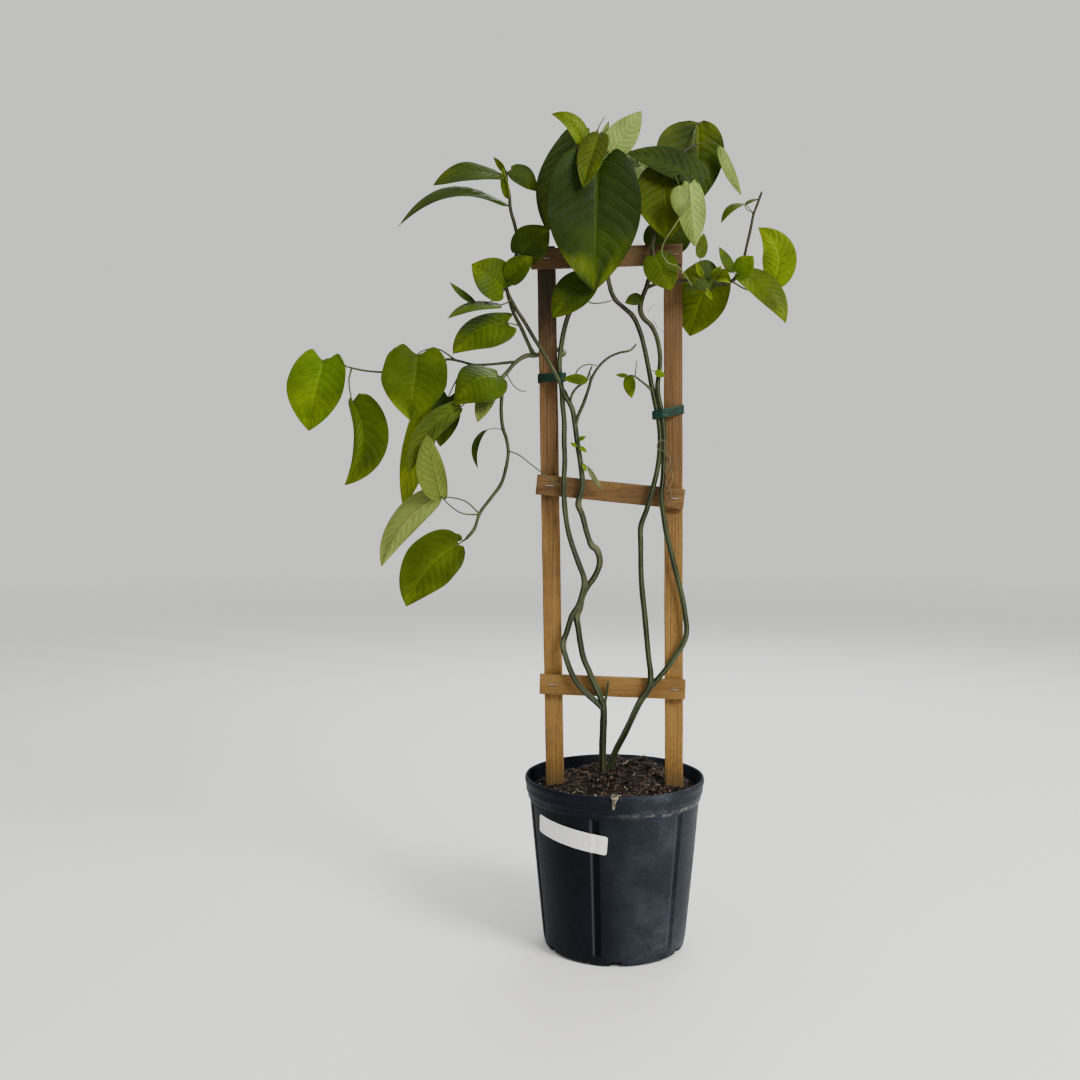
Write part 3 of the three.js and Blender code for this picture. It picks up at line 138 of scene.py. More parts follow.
# The plant: each spray has its stems, as (thickness from, to, points), and then its leaves
SPRAYS = {
    "vine_left": ([
        (10.4, 9.2, (-14, 10, 160), (-14, 9, 193), (-15, 6, 222), (-15, 0, 253), (-14, -9, 282),
         (-14, -18, 307), (-16, -20, 319)),
        (8, 6.6, (-14, -17, 303), (-26, -20, 315), (-43, -21, 331), (-54, -21, 349), (-62, -19, 371),
         (-65, -17, 385), (-60, -16, 401), (-54, -16, 420), (-46, -18, 433), (-41, -22, 448), (-38, -23, 465),
         (-46, -21, 489), (-54, -18, 511), (-59, -17, 529), (-63, -18, 557), (-64, -20, 589), (-63, -18, 614),
         (-64, -14, 641), (-64, -12, 664), (-66, -11, 685), (-67, -11, 702), (-69, -11, 719), (-70, -11, 735),
         (-68, -11, 757), (-64, -12, 779), (-59, -15, 795), (-52, -19, 809), (-42, -24, 828)),
        (8.4, 6.8, (-15, -18, 310), (-20, -20, 324), (-28, -19, 341), (-32, -19, 351), (-39, -17, 367),
         (-43, -15, 385), (-46, -13, 405), (-48, -11, 419), (-44, -10, 430), (-41, -10, 444), (-34, -11, 458),
         (-26, -13, 469), (-19, -14, 488), (-23, -15, 504), (-29, -15, 509), (-35, -15, 524), (-41, -16, 547),
         (-46, -18, 561), (-41, -20, 583), (-43, -18, 610), (-47, -16, 635), (-51, -14, 664), (-54, -13, 680),
         (-61, -12, 694), (-66, -12, 706)),
        (5.2, 4, (-13, -18, 306), (-10, -18, 322), (-8, -19, 339)),
        (5.2, 2.4, (-50, -14, 659), (-47, -15, 670), (-40, -17, 686), (-34, -18, 703), (-29, -18, 719),
         (-19, -18, 734), (-7, -17, 744), (5, -16, 749), (18, -15, 752), (26, -14, 760)),
        (3.6, 2.4, (-57, -13, 685), (-54, -16, 698), (-47, -19, 707), (-37, -20, 714), (-32, -19, 726),
         (-29, -19, 733)),
        (1.8, 1.4, (-50, -20, 718), (-48, -22, 726), (-39, -23, 733), (-29, -22, 734), (-21, -19, 732)),
    ], [
        leaflet((-32, -19, 725), (-35, -24, 714), (-65, -28, 716), 16, (0, -0.8, 0.5), "mid", bend=2),
        leaflet((-43, -18, 612), (-34, -22, 607), (-16, -24, 579), 7, (-0.5, -0.8, 0.3), "wilted", bend=2),
    ]),
    "vine_right": ([
        (10, 8.8, (-7, 26, 156), (-7, 25, 189), (-6, 21, 219), (2, 12, 244), (12, 2, 266), (20, -7, 285),
         (26, -14, 300), (33, -19, 315), (42, -20, 328), (48, -20, 339)),
        (7.6, 6, (42, -20, 328), (45, -20, 345), (42, -18, 372), (38, -15, 416), (33, -14, 466),
         (32, -14, 510), (32, -15, 533), (39, -18, 554), (46, -21, 579), (52, -19, 604), (55, -16, 629),
         (55, -13, 653), (51, -12, 678), (47, -12, 697), (43, -12, 718), (36, -12, 753), (30, -13, 775),
         (21, -15, 794), (10, -17, 804), (-1, -20, 814), (-9, -24, 831)),
        (7.6, 6, (46, -19, 333), (63, -17, 353), (77, -14, 372), (87, -13, 389), (90, -13, 402),
         (88, -13, 422), (84, -13, 445), (77, -13, 472), (69, -14, 504), (63, -15, 529), (59, -18, 554),
         (57, -20, 573), (59, -19, 594), (60, -15, 622), (60, -13, 651), (57, -13, 678), (53, -13, 697),
         (52, -13, 709), (54, -12, 725), (55, -12, 744), (51, -12, 767), (44, -13, 782), (34, -14, 792),
         (30, -17, 802), (32, -20, 814), (37, -23, 827), (41, -25, 841)),
        (4.4, 2.4, (45, -12, 702), (39, -15, 708), (31, -18, 714), (24, -20, 719), (18, -21, 721)),
        (1.8, 1.2, (24, -20, 719), (25, -22, 729), (26, -23, 739)),
    ], [
        leaflet((19, -21, 721), (16, -22, 720), (20, -28, 692), 16, (-0.3, -1, 0.2), "mid", bend=2),
        leaflet((18, -21, 721), (15, -22, 720), (0, -24, 721), 7, (0, -0.8, 0.5), "mid"),
        leaflet((42, -12, 725), (49, -17, 726), (61, -18, 719), 10, (0.2, -1, 0.3), "bright"),
        leaflet((32, -20, 812), (32, -24, 816), (11, -30, 808), 17, (0.1, -1, 0.4), "dark", bend=1),
    ]),
    "shoot_left_upper": ([
        (6, 4.8, (-68, -11, 746), (-65, -2, 750), (-69, 9, 755), (-81, 14, 756), (-95, 15, 751),
         (-103, 7, 750), (-110, -2, 763), (-118, -8, 781), (-127, -14, 799), (-135, -24, 825)),
        (5.2, 4.4, (-62, -13, 693), (-65, -18, 702), (-70, -22, 714), (-78, -22, 729), (-88, -19, 746),
         (-100, -18, 765), (-113, -20, 787), (-124, -22, 804), (-134, -25, 824), (-136, -26, 837),
         (-129, -26, 854), (-122, -24, 873), (-122, -23, 890), (-125, -22, 906), (-130, -22, 924),
         (-132, -22, 943), (-135, -22, 958), (-136, -22, 973)),
    ], [
        leaf((-118, -8, 781), (-133, -26, 785), (-199, -46, 746), 54, (-0.1, -0.8, 0.6), "mid", heart=1,
             bend=8, sway=7, fold=-10, left=1.2),
        leaf((-135, -22, 958), (-142, -26, 965), (-222, -50, 949), 42, (0, -0.62, 0.8), "dark", heart=0.3,
             bend=11, twist=-18),
        leaf((-135, -22, 963), (-130, -20, 973), (-98, -8, 950), 36, (0.2, -0.85, 0.6), "dark", heart=0.4,
             bend=6),
        leaf((-130, -22, 927), (-137, -26, 931), (-263, -62, 897), 50, (0, -0.5, 1), "dark", heart=0.3,
             bend=34, fold=-14),
        leaflet((-136, -22, 966), (-137, -22, 971), (-151, -27, 988), 11, (-0.7, -0.6, 0.1), "young", bend=-2,
                fold=20),
        leaflet((-131, -22, 930), (-133, -24, 938), (-139, -28, 974), 12, (-0.5, -0.8, 0), "young", bend=1.5,
                fold=20),
        leaf((-122, -24, 873), (-118, -33, 867), (-82, -36, 900), 50, (-0.1, -1, 0.25), "dark", heart=0.8,
             bend=4),
        leaf((-135, -26, 832), (-138, -30, 826), (-176, -44, 855), 52, (0.1, -1, 0.3), "mid", heart=0.8,
             bend=8, fold=6),
        leaf((-135, -26, 839), (-131, -36, 836), (-101, -42, 863), 33, (0.25, -0.9, 0.5), "mid", heart=0.3,
             bend=6, fold=12),
        leaf((-129, -24, 815), (-145, -30, 807), (-205, -50, 788), 34, (0, -0.5, 0.9), "mid", heart=0.4,
             bend=9, fold=-8),
        leaflet((-135, -25, 828), (-173, -38, 809), (-203, -46, 833), 12, (0.3, -0.6, 0.4), "dark", bend=-2),
    ]),
    "shoot_left_lower": ([
        (5.6, 4.4, (-96, 14, 750), (-103, 6, 748), (-112, -5, 747), (-124, -12, 739), (-134, -17, 727),
         (-141, -21, 717), (-141, -23, 701), (-142, -25, 678), (-140, -26, 657), (-135, -27, 641),
         (-133, -28, 625), (-136, -29, 605), (-142, -30, 586), (-155, -32, 568), (-168, -34, 550),
         (-175, -36, 530), (-187, -38, 516)),
        (1.8, 1.2, (-135, -18, 722), (-127, -23, 709), (-118, -26, 702), (-110, -27, 701)),
        (2, 1.4, (-134, -28, 628), (-119, -30, 622), (-106, -30, 612), (-92, -28, 601), (-79, -25, 591),
         (-70, -22, 585)),
    ], [
        leaf((-138, -19, 721), (-144, -26, 720), (-198, -44, 684), 72, (-0.15, -0.9, 0.6), "mid", heart=0.6,
             bend=18, fold=-12),
        leaf((-140, -21, 718), (-149, -34, 711), (-169, -50, 662), 32, (0.3, 0.8, 0.2), "paler_shade", heart=0.5,
             bend=3, right=0.55),
        leaf((-169, -34, 548), (-214, -52, 572), (-229, -62, 647), 46, (-0.25, 0.9, 0.1), "shade", heart=0.6,
             bend=4, fold=6, left=0.55),
        leaf((-168, -34, 549), (-219, -50, 570), (-287, -58, 485), 52, (0.45, 0.75, 0.35), "paler_shade",
             heart=0.5, bend=6, sway=-13, fold=24, right=0.6),
        leaf((-184, -38, 519), (-194, -39, 512), (-258, -50, 435), 70, (-0.1, -1, 0.1), "hook", heart=0.35,
             bend=4, sway=9, fold=4, wave=1.5, left=0.9),
        leaflet((-187, -38, 516), (-191, -33, 517), (-203, -31, 524), 9, (0, -1, 0.2), "mid"),
        leaflet((-138, -26, 652), (-159, -32, 653), (-169, -40, 605), 18, (-0.8, -0.6, 0.3), "dark", bend=9,
                fold=15),
    ]),
    "shoot_far_left": ([
        (4, 2.6, (-124, -12, 739), (-142, -4, 738), (-160, 2, 737), (-180, 4, 737), (-196, 0, 741),
         (-210, -5, 743), (-234, -6, 739), (-262, -5, 731), (-289, -12, 727), (-313, -20, 728),
         (-334, -30, 732)),
    ], [
        leaf((-334, -30, 732), (-360, -44, 739), (-378, -52, 652), 76, (-0.15, -1, 0.2), "bright", heart=1,
             bend=5, fold=8),
        leaf((-329, -27, 731), (-326, -40, 689), (-334, -50, 585), 66, (0.45, -1, 0.1), "mid", heart=0.4,
             bend=6, sway=-16, fold=22, right=0.4),
        leaf((-201, -2, 742), (-243, -44, 746), (-251, -50, 665), 82, (0.05, -1, 0.15), "mid", heart=1,
             bend=6, fold=6, wave=2),
        leaf((-214, -5, 742), (-242, 14, 688), (-271, 4, 557), 60, (-0.35, -1, 0), "ochre", heart=0.5, bend=5,
             fold=10, right=0.55),
        leaf((-170, 3, 737), (-192, -40, 680), (-254, -51, 599), 30, (0.2, -1, 0.45), "grey", heart=0.3,
             bend=2, sway=13, fold=14),
        leaf((-184, 3, 738), (-210, -8, 696), (-220, -16, 633), 38, (0.1, -1, 0.1), "dark", heart=0.7, bend=4,
             fold=8),
    ]),
    "crown_left": ([
        (6.4, 3.2, (-45, -23, 822), (-39, -25, 834), (-31, -26, 852), (-22, -26, 878), (-17, -23, 908),
         (-15, -19, 940), (-16, -17, 966), (-18, -14, 988), (-21, -14, 1005), (-24, -15, 1022)),
        (1.6, 1.2, (-24, -15, 1019), (-20, -17, 1028), (-14, -18, 1037)),
        (2.4, 1.6, (-31, -26, 852), (-35, -30, 832), (-40, -30, 817), (-32, -31, 809), (-19, -32, 808),
         (-4, -33, 811)),
    ], [
        leaf((-17, -15, 979), (-23, -48, 973), (-26, -58, 819), 112, (0.05, -1, 0.22), "great", heart=0.9,
             bend=9, fold=6, wave=2.5, left=0.96, right=1.06),
        leaf((-20, -14, 1002), (-47, -8, 1014), (-85, -2, 900), 74, (-0.75, -0.75, 0.35), "dark", heart=0.9,
             bend=8, fold=6, right=1.15),
        leaf((-22, -14, 1012), (-20, -46, 1008), (-39, -70, 939), 36, (-0.15, -1, 0.4), "olive", heart=0.3,
             bend=4, fold=14),
        leaf((-21, -14, 1005), (-41, -34, 996), (-79, -42, 1034), 26, (-0.3, -0.7, 0.7), "young", heart=0.3,
             bend=6, sway=8, fold=14),
        leaf((-18, -14, 988), (-10, -42, 988), (30, -38, 1037), 38, (-0.3, 0.8, 0.1), "under", heart=0.3,
             bend=4, sway=-3, fold=10),
        leaflet((-20, -14, 998), (-17, -38, 983), (-9, -34, 1027), 16, (-0.4, 0.8, 0.1), "under", bend=2,
                fold=25),
        leaf((-31, -26, 852), (-33, -36, 836), (-77, -44, 789), 48, (-0.2, -1, 0.2), "dark", heart=0.6,
             bend=5, fold=12),
    ]),
    "crown_right": ([
        (6, 3.6, (40, -25, 839), (42, -26, 851), (43, -27, 863), (45, -26, 881), (50, -22, 907),
         (56, -15, 935), (63, -8, 959), (69, -2, 977), (78, 6, 993), (89, 13, 1004), (101, 18, 1011)),
    ], [
        leaf((94, 15, 1007), (104, 36, 1043), (103, 24, 940), 86, (0.05, -1, 0.3), "dome", heart=0.15, bend=4,
             fold=5, left=0.74, right=1.26),
        leaf((64, -7, 963), (105, -27, 956), (11, -20, 992), 56, (-0.05, -0.87, 0.5), "gloss", heart=0.5,
             bend=6, left=0.6),
        leaf((58, -13, 941), (58, -18, 967), (63, -31, 884), 72, (-0.05, -1, 0.1), "olive", heart=0.9, bend=4,
             fold=6),
        leaf((63, -8, 959), (88, -52, 946), (94, -60, 870), 34, (0.1, 1, 0.2), "under", heart=0.5, bend=3,
             fold=8),
        leaflet((64, -7, 961), (75, -52, 944), (76, -58, 906), 22, (0.1, 1, 0.1), "under", fold=8),
        leaflet((100, 17, 1010), (128, 14, 1007), (155, 2, 943), 15, (-0.3, 0.9, 0.3), "under", bend=3),
        leaf((45, -26, 878), (47, -36, 864), (67, -44, 821), 42, (-0.1, -1, 0.3), "mid", heart=0.6, bend=3),
        leaf((51, -20, 913), (65, 14, 912), (61, 24, 867), 60, (0.1, -1, 0.3), "dark", heart=0.7, bend=4),
    ]),
    "crown_back": ([
        (6.4, 3.6, (-6, -23, 825), (-9, -25, 836), (-11, -27, 854), (-10, -27, 878), (-4, -24, 908),
         (3, -19, 938), (10, -14, 961), (14, -6, 977), (19, 6, 992), (17, 18, 1005)),
    ], [
        leaf((12, -9, 970), (-5, 30, 964), (-31, 70, 875), 90, (-0.2, 0.9, 0.45), "mid", heart=0.9, bend=10,
             fold=6),
        leaf((19, 7, 994), (30, 36, 990), (94, 78, 937), 84, (0.3, 0.8, 0.6), "mid", heart=0.9, bend=12,
             fold=6),
        leaf((17, 18, 1005), (7, 38, 1001), (-56, 86, 964), 80, (-0.35, 0.75, 0.6), "mid", heart=0.9, bend=12,
             fold=6),
        leaf((17, 17, 1003), (22, 44, 1006), (32, 118, 1002), 76, (0.05, 0.35, 1), "bright", heart=0.8,
             bend=14, fold=5),
    ]),
    "shoot_right": ([
        (4.8, 3.2, (37, -23, 827), (46, -21, 831), (57, -17, 835), (73, -16, 836), (91, -14, 837),
         (113, -14, 833), (132, -16, 832), (147, -20, 839), (155, -22, 858), (160, -23, 880), (164, -23, 898),
         (167, -23, 914), (172, -24, 928), (177, -25, 942)),
    ], [
        leaf((125, -15, 832), (121, -21, 836), (86, -27, 847), 42, (0.1, -1, 0.3), "dark", heart=0.7, bend=4),
        leaf((108, -14, 834), (118, 2, 849), (93, 12, 772), 72, (-0.35, -1, 0.1), "painted_sunlit", heart=0.9, bend=6,
             fold=6),
        leaflet((104, -14, 835), (104, -10, 865), (108, -12, 895), 15, (0.1, -1, 0.3), "grey"),
        leaf((140, -18, 836), (192, -17, 831), (173, -22, 899), 42, (-0.1, -1, 0.25), "lime", heart=0.2,
             bend=3, sway=16),
        leaf((144, -19, 838), (152, -25, 843), (205, -42, 780), 48, (0.25, -0.75, 0.65), "hook", heart=0.4,
             bend=9, sway=-3, fold=6),
        leaf((148, -20, 842), (148, -38, 841), (165, -48, 860), 28, (-0.2, -1, 0.3), "bright", heart=0.6,
             bend=2),
        leaflet((148, -20, 842), (143, -24, 845), (125, -30, 875), 15, (0.3, -0.9, 0.2), "mid"),
        leaflet((167, -23, 914), (154, -26, 927), (127, -36, 902), 16, (-0.1, -0.5, 0.8), "mid", bend=7),
        leaflet((168, -23, 917), (157, -21, 927), (175, -18, 934), 9, (0, -0.5, 0.8), "mid", bend=2),
    ]),
}

# Upper side of each kind of leaf, its underside, and a patch as (strength, from, to, colour) along it. A
# patch in the sunny yellow-green is painted sunlight; the ochre leaf's brown patch is its own colour.
PALE, DIM = (0.250, 0.330, 0.100), (0.120, 0.170, 0.030)
SHADED = (0.050, 0.090, 0.003)
# A sunny yellow-green, laid on leaves as painted sunlight
PAINTED_SUNLIGHT = (0.190, 0.240, 0.004)
TONES = dict(
    bright=((0.072, 0.130, 0.001), PALE, (0.25, 0.1, 0.8, PAINTED_SUNLIGHT)),
    mid=((0.042, 0.070, 0.001), PALE, (0.2, 0.5, 1.0, PAINTED_SUNLIGHT)),
    lime=((0.086, 0.128, 0.001), PALE, (0.3, 0.5, 1.0, PAINTED_SUNLIGHT)),
    # A lighter green with painted sunlight, for a leaf that sits in shade
    painted_sunlit=((0.105, 0.145, 0.001), PALE, (0.3, 0.5, 1.0, PAINTED_SUNLIGHT)),
    dome=((0.024, 0.041, 0.001), DIM, (0.35, 0.6, 0.0, (0.110, 0.150, 0.003))),
    hook=((0.048, 0.076, 0.001), PALE, (0.3, 0.4, 1.0, PAINTED_SUNLIGHT)),
    ochre=((0.120, 0.160, 0.006), PALE, (0.07, 0.1, 0.5, (0.150, 0.110, 0.012))),
    dark=((0.022, 0.038, 0.001), DIM, (0.15, 0.4, 1.0, PAINTED_SUNLIGHT)),
    olive=((0.036, 0.052, 0.001), PALE, (0.22, 0.3, 0.9, PAINTED_SUNLIGHT)),
    great=((0.010, 0.024, 0.001), PALE, (0.16, 0.45, 0.95, PAINTED_SUNLIGHT)),
    gloss=((0.015, 0.030, 0.002), PALE, (0.06, 0.3, 1.0, PAINTED_SUNLIGHT)),
    grey=((0.052, 0.078, 0.008), PALE, (0.1, 0.3, 1.0, PAINTED_SUNLIGHT)),
    young=((0.090, 0.140, 0.004), PALE, (0.25, 0.2, 1.0, PAINTED_SUNLIGHT)),
    under=(SHADED, (0.175, 0.240, 0.050), (0.1, 0.3, 1.0, PAINTED_SUNLIGHT)),
    shade=(SHADED, (0.110, 0.145, 0.016), (0.3, 0.3, 1.0, PAINTED_SUNLIGHT)),
    wilted=((0.160, 0.190, 0.090), (0.175, 0.240, 0.080), (0.1, 0.3, 1.0, PAINTED_SUNLIGHT)),
    budding=((0.130, 0.220, 0.004), PALE, (0.2, 0.2, 1.0, PAINTED_SUNLIGHT)),
    # An underside in painted shade, less deep than shade
    paler_shade=(SHADED, (0.150, 0.190, 0.038), (0.3, 0.3, 1.0, PAINTED_SUNLIGHT)),
)
STEM_GREEN = (0.045, 0.058, 0.020)
STEM_DARK = (0.012, 0.017, 0.006)
STEM_BROWN = (0.022, 0.015, 0.007)
KNOT_PALE = (0.16, 0.17, 0.08)
STALK_PAINT = 2  # the stem skin among the paints of a spray


# Curves and grids

def run_of(line):
    """Distance along a line at each of its points."""
    return np.concatenate([[0], np.cumsum(np.linalg.norm(np.diff(line, axis=0), axis=1))])


def points_at(line, run, at):
    """The points at given distances along a line."""
    return np.stack([np.interp(at, run, column) for column in line.T], 1)


def smooth_path(points, step):
    """Centripetal Catmull-Rom through the points, resampled evenly: on each span, with d0, d1, d2 the square
    roots of the three spacings, the end slopes are (b-a)/d0 - (c-a)/(d0+d1) + (c-b)/d1 times d1, and the
    span is the cubic that has them."""
    points = np.asarray(points, float)
    p = np.vstack([2 * points[0] - points[1], points, 2 * points[-1] - points[-2]])
    a, b, c, d = p[:-3], p[1:-2], p[2:-1], p[3:]
    gaps = np.sqrt(np.linalg.norm(np.diff(p, axis=0), axis=1))[:, None]
    d0, d1, d2 = gaps[:-2], gaps[1:-1], gaps[2:]
    start = ((b - a) / d0 - (c - a) / (d0 + d1) + (c - b) / d1) * d1
    end = ((c - b) / d1 - (d - b) / (d1 + d2) + (d - c) / d2) * d1
    t = np.linspace(0, 1, 24, endpoint=False)[None, :, None]
    b, c, start, end = (v[:, None, :] for v in (b, c, start, end))
    spans = b + start * t + (3 * (c - b) - 2 * start - end) * t**2 + (2 * (b - c) + start + end) * t**3
    fine = np.vstack([spans.reshape(-1, 3), points[-1:]])
    run = run_of(fine)
    at = np.linspace(0, run[-1], max(3, int(round(run[-1] / step))) + 1)
    return points_at(fine, run, at), at


def path_frames(path):
    """Directions along, beside and outward at each point of a path. Beside is square to the path and to the
    direction in which the whole path spreads least, so the frames don't turn over."""
    along = np.gradient(path, axis=0)
    along /= np.linalg.norm(along, axis=1)[:, None]
    least = np.linalg.svd(path - path.mean(0), full_matrices=False)[2][-1]
    if np.abs(along @ least).max() > 0.9:
        least = np.array([0.0, 1.0, 0.0])
    beside = np.cross(least, along)
    beside /= np.linalg.norm(beside, axis=1)[:, None] + 1e-9
    return along, beside, np.cross(along, beside)


def ring_quads(rows, columns):
    """The quads of rings of points, one ring to a row, each ring's last point joined to its first."""
    row, column = np.mgrid[0:rows - 1, 0:columns]
    a, b = row * columns + column, row * columns + (column + 1) % columns
    return np.stack([a, b, b + columns, a + columns], -1).reshape(-1, 4)


def end_fans(rows, columns):
    """Two fans from a point before the first ring and one after the last, as triangles."""
    c = np.arange(columns)
    after = (c + 1) % columns
    last = (rows - 1) * columns
    first_fan = np.stack([np.full(columns, rows * columns), after, c], 1)
    last_fan = np.stack([np.full(columns, rows * columns + 1), last + c, last + after], 1)
    return np.vstack([first_fan, last_fan])


def slab_quads(rows, columns):
    """The quads of a thin slab whose every ring goes out over one side and back under the other: round the
    rings, and across the first and the last of them."""
    width = 2 * columns
    c = np.arange(columns - 1)
    cap = np.stack([c, width - 1 - c, width - 2 - c, c + 1], 1)
    return ring_quads(rows, width), cap, cap[:, ::-1] + (rows - 1) * width


def normals_of(points):
    """Unit normals of a grid of points, column direction crossed with row direction."""
    n = np.cross(np.gradient(points, axis=1), np.gradient(points, axis=0))
    return n / (np.linalg.norm(n, axis=2)[..., None] + 1e-12)


def circle(count):
    """Even turns round a circle."""
    return np.linspace(0, 2 * math.pi, count, endpoint=False)


def turned(angle, radius, height):
    """Points round the pot's axis, their angle counted from the front."""
    return np.stack(np.broadcast_arrays(np.sin(angle) * radius, -np.cos(angle) * radius, height), -1)


def waves(points, size, seed, count=10):
    """A smooth random height from -1 to 1 at each point: the mean of sine waves of about that length, in
    seeded directions and phases."""
    draw = np.random.default_rng(seed)
    way = draw.normal(size=(count, points.shape[-1]))
    way *= (2 * math.pi / size) * draw.uniform(0.6, 1.5, (count, 1)) / np.linalg.norm(way, axis=1)[:, None]
    phase = draw.uniform(0, 2 * math.pi, count)
    return np.sin(points @ way.T + phase).sum(-1) / math.sqrt(count) / 1.4


def between(value, low, high):
    """A smooth step from 0 at low to 1 at high."""
    t = np.clip((value - low) / (high - low), 0, 1)
    return t * t * (3 - 2 * t)


def mixed(first, second, share):
    """first + (second - first) * share, for tones."""
    return np.asarray(first) + np.subtract(second, first) * share


def part(points, faces, pick=0, **marks):
    """One patch of a piece: its points in millimetres, its faces, a material number for all or each of
    them, and values marked on its points."""
    points = np.asarray(points, float).reshape(-1, 3)
    picks = pick if isinstance(pick, list) else [pick] * len(faces)
    slots = [np.broadcast_to(m, len(f)) for f, m in zip(faces, picks)]
    return points, faces, slots, {k: np.broadcast_to(v, (len(points), 3)) for k, v in marks.items()}


def capped(rings, ends, pick=0, **marks):
    """A patch of rings of points, closed by fans to a point before the first and one after the last, which
    take the marks of the first and the last point of the rings."""
    rows, columns = rings.shape[:2]
    marks = {k: np.vstack([v, v[:1], v[-1:]]) if np.ndim(v) == 2 else v for k, v in marks.items()}
    return part(np.vstack([rings.reshape(-1, 3), ends]), [ring_quads(rows, columns), end_fans(rows, columns)],
                pick, **marks)


def tube(path, radius, sides=10, squeeze=None, pick=0, **marks):
    """A closed tube: point = path + radius(along, turn) * (beside * cos(turn) + outward * sin(turn)), its
    ends closed to a point. radius has a value for each ring, and squeeze one for each turn."""
    along, beside, outward = path_frames(path)
    turn = circle(sides)
    reach = radius[:, None] * (np.ones(sides) if squeeze is None else squeeze(turn))
    ring = beside[:, None] * np.cos(turn)[:, None] + outward[:, None] * np.sin(turn)[:, None]
    ends = [path[0] - along[0] * radius[0] * 0.4, path[-1] + along[-1] * radius[-1] * 0.6]
    return capped(path[:, None] + reach[..., None] * ring, ends, pick, **marks)


def build(name, parts, paints, slot, *nodes, smooth=True):
    """Puts patches into one mesh, in metres, and has it ride on the pot and stand for its nodes."""
    start, points, corners, sizes, slots, marks = 0, [], [], [], [], {}
    for pts, faces, picks, spread in parts:
        points.append(pts)
        for f, m in zip(faces, picks):
            corners.append((f + start).ravel())
            sizes.append(np.full(len(f), f.shape[1]))
            slots.append(m)
        for key, value in spread.items():
            marks.setdefault(key, []).append(value)
        start += len(pts)
    points, corners, sizes = np.vstack(points) * MM, np.concatenate(corners), np.concatenate(sizes)
    mesh = bpy.data.meshes.new(name)
    mesh.vertices.add(len(points))
    mesh.vertices.foreach_set("co", points.astype(np.float32).ravel())
    mesh.loops.add(len(corners))
    mesh.loops.foreach_set("vertex_index", corners.astype(np.int32))
    mesh.polygons.add(len(sizes))
    mesh.polygons.foreach_set("loop_start", (np.cumsum(sizes) - sizes).astype(np.int32))
    mesh.polygons.foreach_set("material_index", np.concatenate(slots).astype(np.int32))
    mesh.polygons.foreach_set("use_smooth", np.full(len(sizes), smooth))
    for key, value in marks.items():
        layer = mesh.attributes.new(key, "FLOAT_VECTOR", "POINT")
        layer.data.foreach_set("vector", np.vstack(value).astype(np.float32).ravel())
    mesh.update(calc_edges=True)
    mesh.validate()
    for paint in paints:
        mesh.materials.append(paint)
    piece = placed(name, mesh)
    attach(piece, "root")
    if nodes:
        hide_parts(*nodes)


# Node setups

class Setup:
    """Adds shader nodes to a tree. An input is given as a value or as another node's output, and a colour
    as (red, green, blue) or as an output."""

    def __init__(self, tree):
        self.tree, self.where = tree, None

    def feed(self, node, inputs):
        """Sets or links a node's inputs."""
        for key, value in inputs.items():
            if isinstance(value, bpy.types.NodeSocket):
                self.tree.links.new(value, node.inputs[key])
            else:
                node.inputs[key].default_value = value
        return node

    def add(self, kind, inputs=None, **settings):
        """A new node of a kind, with its settings and its inputs."""
        made = self.tree.nodes.new("ShaderNode" + kind)
        for key, value in settings.items():
            setattr(made, key, value)
        return self.feed(made, inputs or {})

    def math(self, operation, a, b=0.0, clamp=False):
        return self.add("Math", {0: a, 1: b}, operation=operation, use_clamp=clamp).outputs[0]

    def plus(self, a, b, clamp=False):
        return self.math("ADD", a, b, clamp)

    def times(self, a, b, clamp=False):
        return self.math("MULTIPLY", a, b, clamp)

    def minus(self, a, b):
        return self.math("SUBTRACT", a, b)

    def size(self, value, middle=None):
        """How far a value is from a middle one, or from nothing."""
        return self.math("ABSOLUTE", value if middle is None else self.minus(value, middle))

    def total(self, first, *rest):
        """The sum of masks, each given as (mask, share)."""
        made = self.times(*first)
        for pair in rest:
            made = self.plus(made, self.times(*pair))
        return made

    def ramp(self, value, low, high, to_low=0.0, to_high=1.0, smooth=True):
        return self.add("MapRange", {0: value, 1: low, 2: high, 3: to_low, 4: to_high},
                        interpolation_type="SMOOTHSTEP" if smooth else "LINEAR").outputs[0]

    def level(self, mask, low, high):
        """Straight from low to high as a mask goes from 0 to 1."""
        return self.ramp(mask, 0.0, 1.0, low, high, smooth=False)

    def mix(self, share, a, b, blend="MIX"):
        a, b = (c if isinstance(c, bpy.types.NodeSocket) else (*c, 1.0) for c in (a, b))
        return self.add("Mix", {0: share, 6: a, 7: b}, data_type="RGBA", blend_type=blend).outputs[2]

    def tint(self, tone, *by):
        """A tone whose red, green and blue are multiplied."""
        return self.mix(1.0, tone, by, "MULTIPLY")

    def coat(self, base, colour, mask, share):
        """A colour laid over a base where a mask is, up to a share."""
        return self.mix(self.times(mask, share), base, colour)

    def place(self):
        """The place on the object, from one node for the whole tree."""
        if self.where is None:
            self.where = self.add("TexCoord").outputs["Object"]
        return self.where

    def stretch(self, scale, turn=(0, 0, 0)):
        return self.add("Mapping", {"Vector": self.place(), "Rotation": turn, "Scale": scale}).outputs[0]

    def noise(self, scale, detail=3.0, roughness=0.5, at=None):
        return self.add("TexNoise", {"Vector": self.place() if at is None else at, "Scale": scale,
                                     "Detail": detail, "Roughness": roughness}).outputs[0]

    def split(self, vector):
        return self.add("SeparateXYZ", {0: vector}).outputs

    def mark(self, name):
        return self.add("Attribute", attribute_name=name).outputs["Vector"]

    def effect(self, tree, **inputs):
        return self.add("Group", inputs, node_tree=tree).outputs

    def cloud(self, size, contrast):
        return self.effect(MOTTLE, Size=size, Contrast=contrast)["Mask"]


